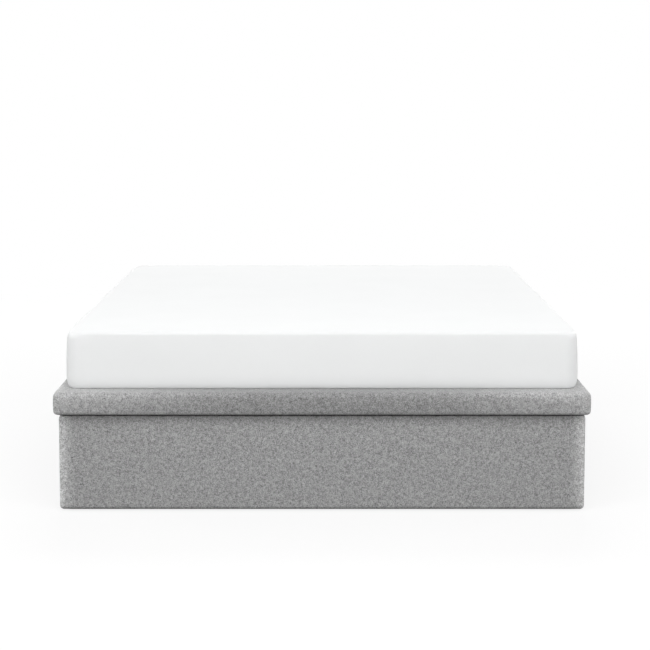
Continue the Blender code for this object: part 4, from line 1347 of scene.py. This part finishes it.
@dataclass
class Hardware:
    """Turned metal pieces of the lift mechanism, made rounder than the frame's own.

    The cylinder's foot and mouth are rows of radius and distance in millimetres: the foot from the lower
    stud, with its collar and first groove, and the mouth from the cylinder's end, with its second groove
    and rim.
    """

    finishes: Finishes
    joints: dict[str, Any]
    bolt_head: float = 6.5 * MM
    bolt_height: float = 2.5 * MM
    bolt_shank: float = 3 * MM
    head_foot: float = 6.305 * MM
    foot_height: float = 0.3 * MM
    rim_height: float = 0.5 * MM
    dome: float = math.radians(62)
    dome_power: float = 0.6
    dome_rows: int = 7
    head_sides: int = 36
    hex_sides: int = 6
    hex_reach: float = 3.4 * MM
    hex_depths: tuple[float, float] = (1.6 * MM, 1.7 * MM)
    crease: float = math.radians(40)
    eye_radius: float = 10 * MM
    eye_bore: float = 5.4 * MM
    eye_half: float = 5 * MM
    eye_ease: float = 0.8 * MM
    eye_neck: float = 8.8 * MM
    mouth_from_stud: float = 31 * MM
    rod_neck: tuple[float, float] = (4.8 * MM, 7.2 * MM)
    rod_radius: float = 4 * MM
    rod_shorter: float = 80 * MM
    piston: tuple[float, float] = (7.5 * MM, 8 * MM)
    rod_bevel: float = 0.5 * MM
    foot: tuple[tuple[float, float], ...] = (
        (0.01, 8.8), (4.6, 8.8), (4.8, 12.5), (7.5, 13.0), (7.8, 15.8), (10.2, 16.0),
        (11.0, 17.0), (11.0, 20.0), (10.7, 20.6), (11.0, 21.2),
    )
    mouth: tuple[tuple[float, float], ...] = (
        (11.0, -7.0), (10.7, -6.4), (11.0, -5.8), (11.0, -1.2), (10.0, 0.0), (6.2, 0.0),
        (6.0, -0.6), (6.0, -3.0), (9.5, -3.0),
    )
    inside_end: tuple[tuple[float, float], ...] = ((9.5, 20.0), (0.01, 20.0))

    def turned(self, name: str, node: str, body: Body, slot: str, *grids: Grid) -> None:
        """Build a piece from turned grids in place of a node.

        Args:
            name: the piece's name.
            node: the node that it stands for.
            body: what it rides on.
            slot: the material slot that it takes its finish from.
            grids: rows by segments by three, one for each turned form.
        """
        skin = Skin(name)
        for grid in grids:
            skin.add_grid(grid)
        item = skin.build(self.finishes, body, slot, node)
        item.data.set_sharp_from_angle(angle=self.crease)

    def bolt(self, node: str, body: Body, axis: Floats) -> None:
        """A button head bolt with a hexagon socket.

        The dome's radius is the head's times a power of the cosine, and its height goes by the sine.

        Args:
            node: the bolt's node, which it replaces.
            body: what it rides on.
            axis: direction from its tip to its head.
        """
        low, high = (np.array(corner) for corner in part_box(node))
        direction = np.asarray(axis, float)
        length = float(np.abs((high - low) @ direction))
        tip = (low + high) / 2 - direction * length / 2
        seat = length - self.bolt_height
        turn = np.linspace(0, self.dome, self.dome_rows)
        rises = self.rim_height + (self.bolt_height - self.rim_height) * np.sin(turn) / math.sin(self.dome)
        outside = np.concatenate(
            [
                rounded_steps([(self.bolt_shank, seat)], 0)[:-1],
                np.array([[self.head_foot, seat], [self.bolt_head, seat + self.foot_height]]),
                np.stack([self.bolt_head * np.cos(turn) ** self.dome_power, seat + rises], axis=-1),
                np.array([[self.hex_reach, length]]),
            ]
        )
        wall, middle = (length - depth for depth in self.hex_depths)
        socket = np.array([[self.hex_reach, length], [self.hex_reach, wall], [POINT, middle]])
        button = lathe(outside, tip, direction, self.head_sides)
        hexagon = lathe(socket, tip, direction, self.hex_sides)
        self.turned(node.replace("bolt", "screw"), node, body, "zinc_steel", button, hexagon)

    def eye(self, centre: Floats) -> Grid:
        """Ring that sits on a stud along X, as a closed section of eased corners.

        Args:
            centre: the stud's middle.

        Returns:
            Rows by segments by three.
        """
        bore, rim, face = self.eye_bore, self.eye_radius, self.eye_half
        radii = (bore, bore + self.eye_ease, rim - self.eye_ease, rim)
        eased = face - self.eye_ease
        near = list(zip(radii, (-eased, -face, -face, -eased)))
        far = list(zip(radii[::-1], (eased, face, face, eased)))
        return lathe(np.array(near + far + near[:1]), centre, (1.0, 0.0, 0.0))

    def gas_spring(self, side: Side) -> None:
        """Cylinder and rod of one gas spring, along the line from the lower stud to the upper one.

        Args:
            side: which side of the bed it is on.
        """
        name = side.name.lower()
        lower = np.array(self.joints["cylinder_swing"]["pos_m"], float)
        upper = np.array(self.joints["rod_swing"]["pos_m"], float)
        cylinder = f"gas_cylinder_{name}"
        low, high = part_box(cylinder)
        lower[0] = upper[0] = (low.x + high.x) / 2
        length = float(np.linalg.norm(upper - lower))
        direction = (upper - lower) / length
        mouth = np.array(self.mouth) * MM + [0, length - self.mouth_from_stud]
        tube = np.concatenate([np.array(self.foot) * MM, mouth, np.array(self.inside_end) * MM])
        grids = lathe(tube, lower, direction), self.eye(lower)
        self.turned(f"gas_spring_tube_{name}", cylinder, Body.GAS_CYLINDERS, "black_steel", *grids)
        steps = [self.rod_neck, (self.rod_radius, length - self.rod_shorter), self.piston]
        rod = rounded_steps(steps, self.eye_neck, self.rod_bevel)
        grids = lathe(rod, upper, -direction), self.eye(upper)
        self.turned(f"gas_spring_rod_{name}", f"gas_rod_{name}", Body.GAS_RODS, "ground_steel", *grids)

    def build(self) -> None:
        """Build every turned piece."""
        for side in Side:
            self.gas_spring(side)
            for end in (f"{side.name.lower()}_1", f"{side.name.lower()}_2"):
                self.bolt(f"base_plate_bolt_{end}", Body.BOX, (-float(side.value), 0.0, 0.0))
                self.bolt(f"lid_bracket_bolt_{end}", Body.LID, (0.0, 0.0, -1.0))


@dataclass
class FrameParts:
    """CAD pieces that keep their own shape and get a finish."""

    finishes: Finishes
    frame: dict[str, Any]

    def dress(self) -> None:
        """Give each node the finish of its slot, or its own."""
        slots = {row["node"]: row["material_slot"] for row in self.frame["record"]["subparts"]}
        for name, item in self.frame["nodes"].items():
            finish = NODE_EXCEPTIONS.get(name, NODE_FINISHES[slots[name]])
            item.data.materials.clear()
            item.data.materials.append(self.finishes.get(finish))
            LOG.info("%s: %s", name, finish.name)


@dataclass(frozen=True)
class SoftLamp:
    """A soft rectangular lamp: its place, the point that it aims at, its width and height, and its watts."""

    name: str
    place: tuple[float, float, float]
    aim: tuple[float, float, float]
    size: tuple[float, float]
    power: float

    def hang(self) -> None:
        """Put the lamp in the scene, with its face towards its aim."""
        data = bpy.data.lights.new(self.name, "AREA")
        data.shape = "RECTANGLE"
        data.size, data.size_y = self.size
        data.energy = self.power
        lamp = place_object(self.name, data)
        away = np.subtract(self.place, self.aim)
        lamp.location = self.place
        tilt = math.atan2(math.hypot(away[0], away[1]), away[2])
        lamp.rotation_euler = (tilt, 0, math.atan2(away[0], -away[1]))
        lamp.visible_camera = False


@dataclass
class Studio:
    """Pale floor, white surroundings, soft lamps and the camera."""

    world_strength: float = 0.08
    floor_colour: str = "#F4F4F4"
    floor_bounce: str = "#6E6E6E"
    floor_size: float = 60.0
    floor_glow_share: float = 0.8
    white_from: float = 1.6
    white_by: float = 4.5
    camera_place: tuple[float, float, float] = (0.0085, -5.9095, 1.2313)
    camera_pitch: float = math.radians(90 - 6.2)
    camera_sees: float = 100.0
    lens: float = 95.97
    sensor: float = 36.0
    shift_y: float = -0.08
    lamps: tuple[SoftLamp, ...] = (
        SoftLamp("front_left_lamp", (-3.2, -4.1, 6.1), (0.0, -0.9, 0.3), (2.4, 3.6), 152.0),
        SoftLamp("front_right_lamp", (3.2, -4.1, 6.1), (0.0, -0.9, 0.3), (2.4, 3.6), 119.0),
        SoftLamp("middle_front_lamp", (0.0, -5.3, 2.4), (0.0, -0.9, 0.3), (4.4, 1.0), 162.0),
        SoftLamp("left_lamp", (-4.6, 0.4, 1.2), (0.0, 0.2, 0.3), (3.0, 1.2), 74.0),
        SoftLamp("right_lamp", (4.6, 0.4, 1.2), (0.0, 0.2, 0.3), (3.0, 1.2), 82.0),
        SoftLamp("rear_lamp", (0.0, 4.6, 1.2), (0.0, 0.9, 0.3), (3.4, 1.2), 62.0),
        SoftLamp("high_rear_lamp", (0.0, 7.6, 7.4), (0.0, 0.0, 0.4), (5.0, 3.0), 425.0),
    )

    def sees_background(self, tree: Tree) -> Any:
        """Tell rays that see the background from rays that light the bed.

        Args:
            tree: the floor's or the world's node tree.

        Returns:
            An output that is 1 for camera, gloss and glass rays, and 0 for the others.
        """
        path = add_node(tree, "LightPath")
        seen = path.outputs["Is Camera Ray"]
        for ray in ("Is Glossy Ray", "Is Transmission Ray"):
            seen = add_node(tree, "Math", {0: seen, 1: path.outputs[ray]}, operation="MAXIMUM").outputs[0]
        return seen

    def world(self) -> None:
        """White surroundings: plain light for the object, and pure white to the camera, gloss and glass."""
        world = bpy.data.worlds.new("white studio")
        bpy.context.scene.world = world
        world.use_nodes = True
        tree = world.node_tree
        tree.nodes.clear()
        ends = {"Value": self.sees_background(tree), "To Min": self.world_strength, "To Max": 1.0}
        glow = add_node(tree, "Background", {"Color": WHITE, "Strength": add_node(tree, "MapRange", ends)})
        add_node(tree, "OutputWorld", {0: glow})

    def floor(self) -> None:
        """A pale floor that keeps the bed's shadow near it and is pure white to the camera further out."""
        mesh = bpy.data.meshes.new("studio_floor")
        reach = self.floor_size / 2
        corners = [(-reach, -reach, 0), (reach, -reach, 0), (reach, reach, 0), (-reach, reach, 0)]
        mesh.from_pydata(corners, [], [(0, 1, 2, 3)])
        floor = place_object("studio_floor", mesh)
        material = bpy.data.materials.new("pale studio floor")
        material.use_nodes = True
        tree = material.node_tree
        tree.nodes.clear()
        spot = add_node(tree, "TexCoord").outputs["Object"]
        away = add_node(tree, "VectorMath", {0: spot}, operation="LENGTH").outputs["Value"]
        fade = {"From Min": self.white_from, "From Max": self.white_by, "To Min": self.floor_glow_share}
        share = add_node(tree, "MapRange", {"Value": away, **fade}, interpolation_type="SMOOTHSTEP")
        seen = self.sees_background(tree)
        glowing = add_node(tree, "Math", {0: seen, 1: share}, operation="MULTIPLY")
        tints = {SHARE: seen, DARK: linear(self.floor_bounce), LIGHT: linear(self.floor_colour)}
        tint = add_node(tree, "Mix", tints, data_type="RGBA").outputs[MIXED_COLOUR]
        matt = add_node(tree, "BsdfDiffuse", {"Color": tint})
        glow = add_node(tree, "Emission", {"Color": WHITE, "Strength": 1.0})
        add_node(tree, "OutputMaterial", {0: add_node(tree, "MixShader", {0: glowing, 1: matt, 2: glow})})
        mesh.materials.append(material)

    def camera(self) -> None:
        """The photograph's view of the foot end."""
        data = bpy.data.cameras.new("photo_camera")
        data.lens = self.lens
        data.sensor_width = self.sensor
        data.shift_y = self.shift_y
        data.clip_end = self.camera_sees
        camera = place_object("photo_camera", data)
        camera.location = self.camera_place
        camera.rotation_euler = (self.camera_pitch, 0, 0)
        bpy.context.scene.camera = camera

    def build(self) -> None:
        """Set the stage."""
        self.world()
        self.floor()
        for lamp in self.lamps:
            lamp.hang()
        self.camera()
        bpy.context.scene.view_settings.view_transform = "Standard"


def main() -> None:
    """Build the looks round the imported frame."""
    logging.basicConfig(level=logging.INFO, format="%(name)s: %(message)s")
    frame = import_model()
    finishes = Finishes()
    FrameParts(finishes, frame).dress()
    for kind in (BoxUpholstery, LidUpholstery, Mattress, Lining, Staples):
        kind(finishes).build()
    Hardware(finishes, {joint["name"]: joint for joint in frame["joints"]}).build()
    Studio().build()


if __name__ == "__main__":
    main()
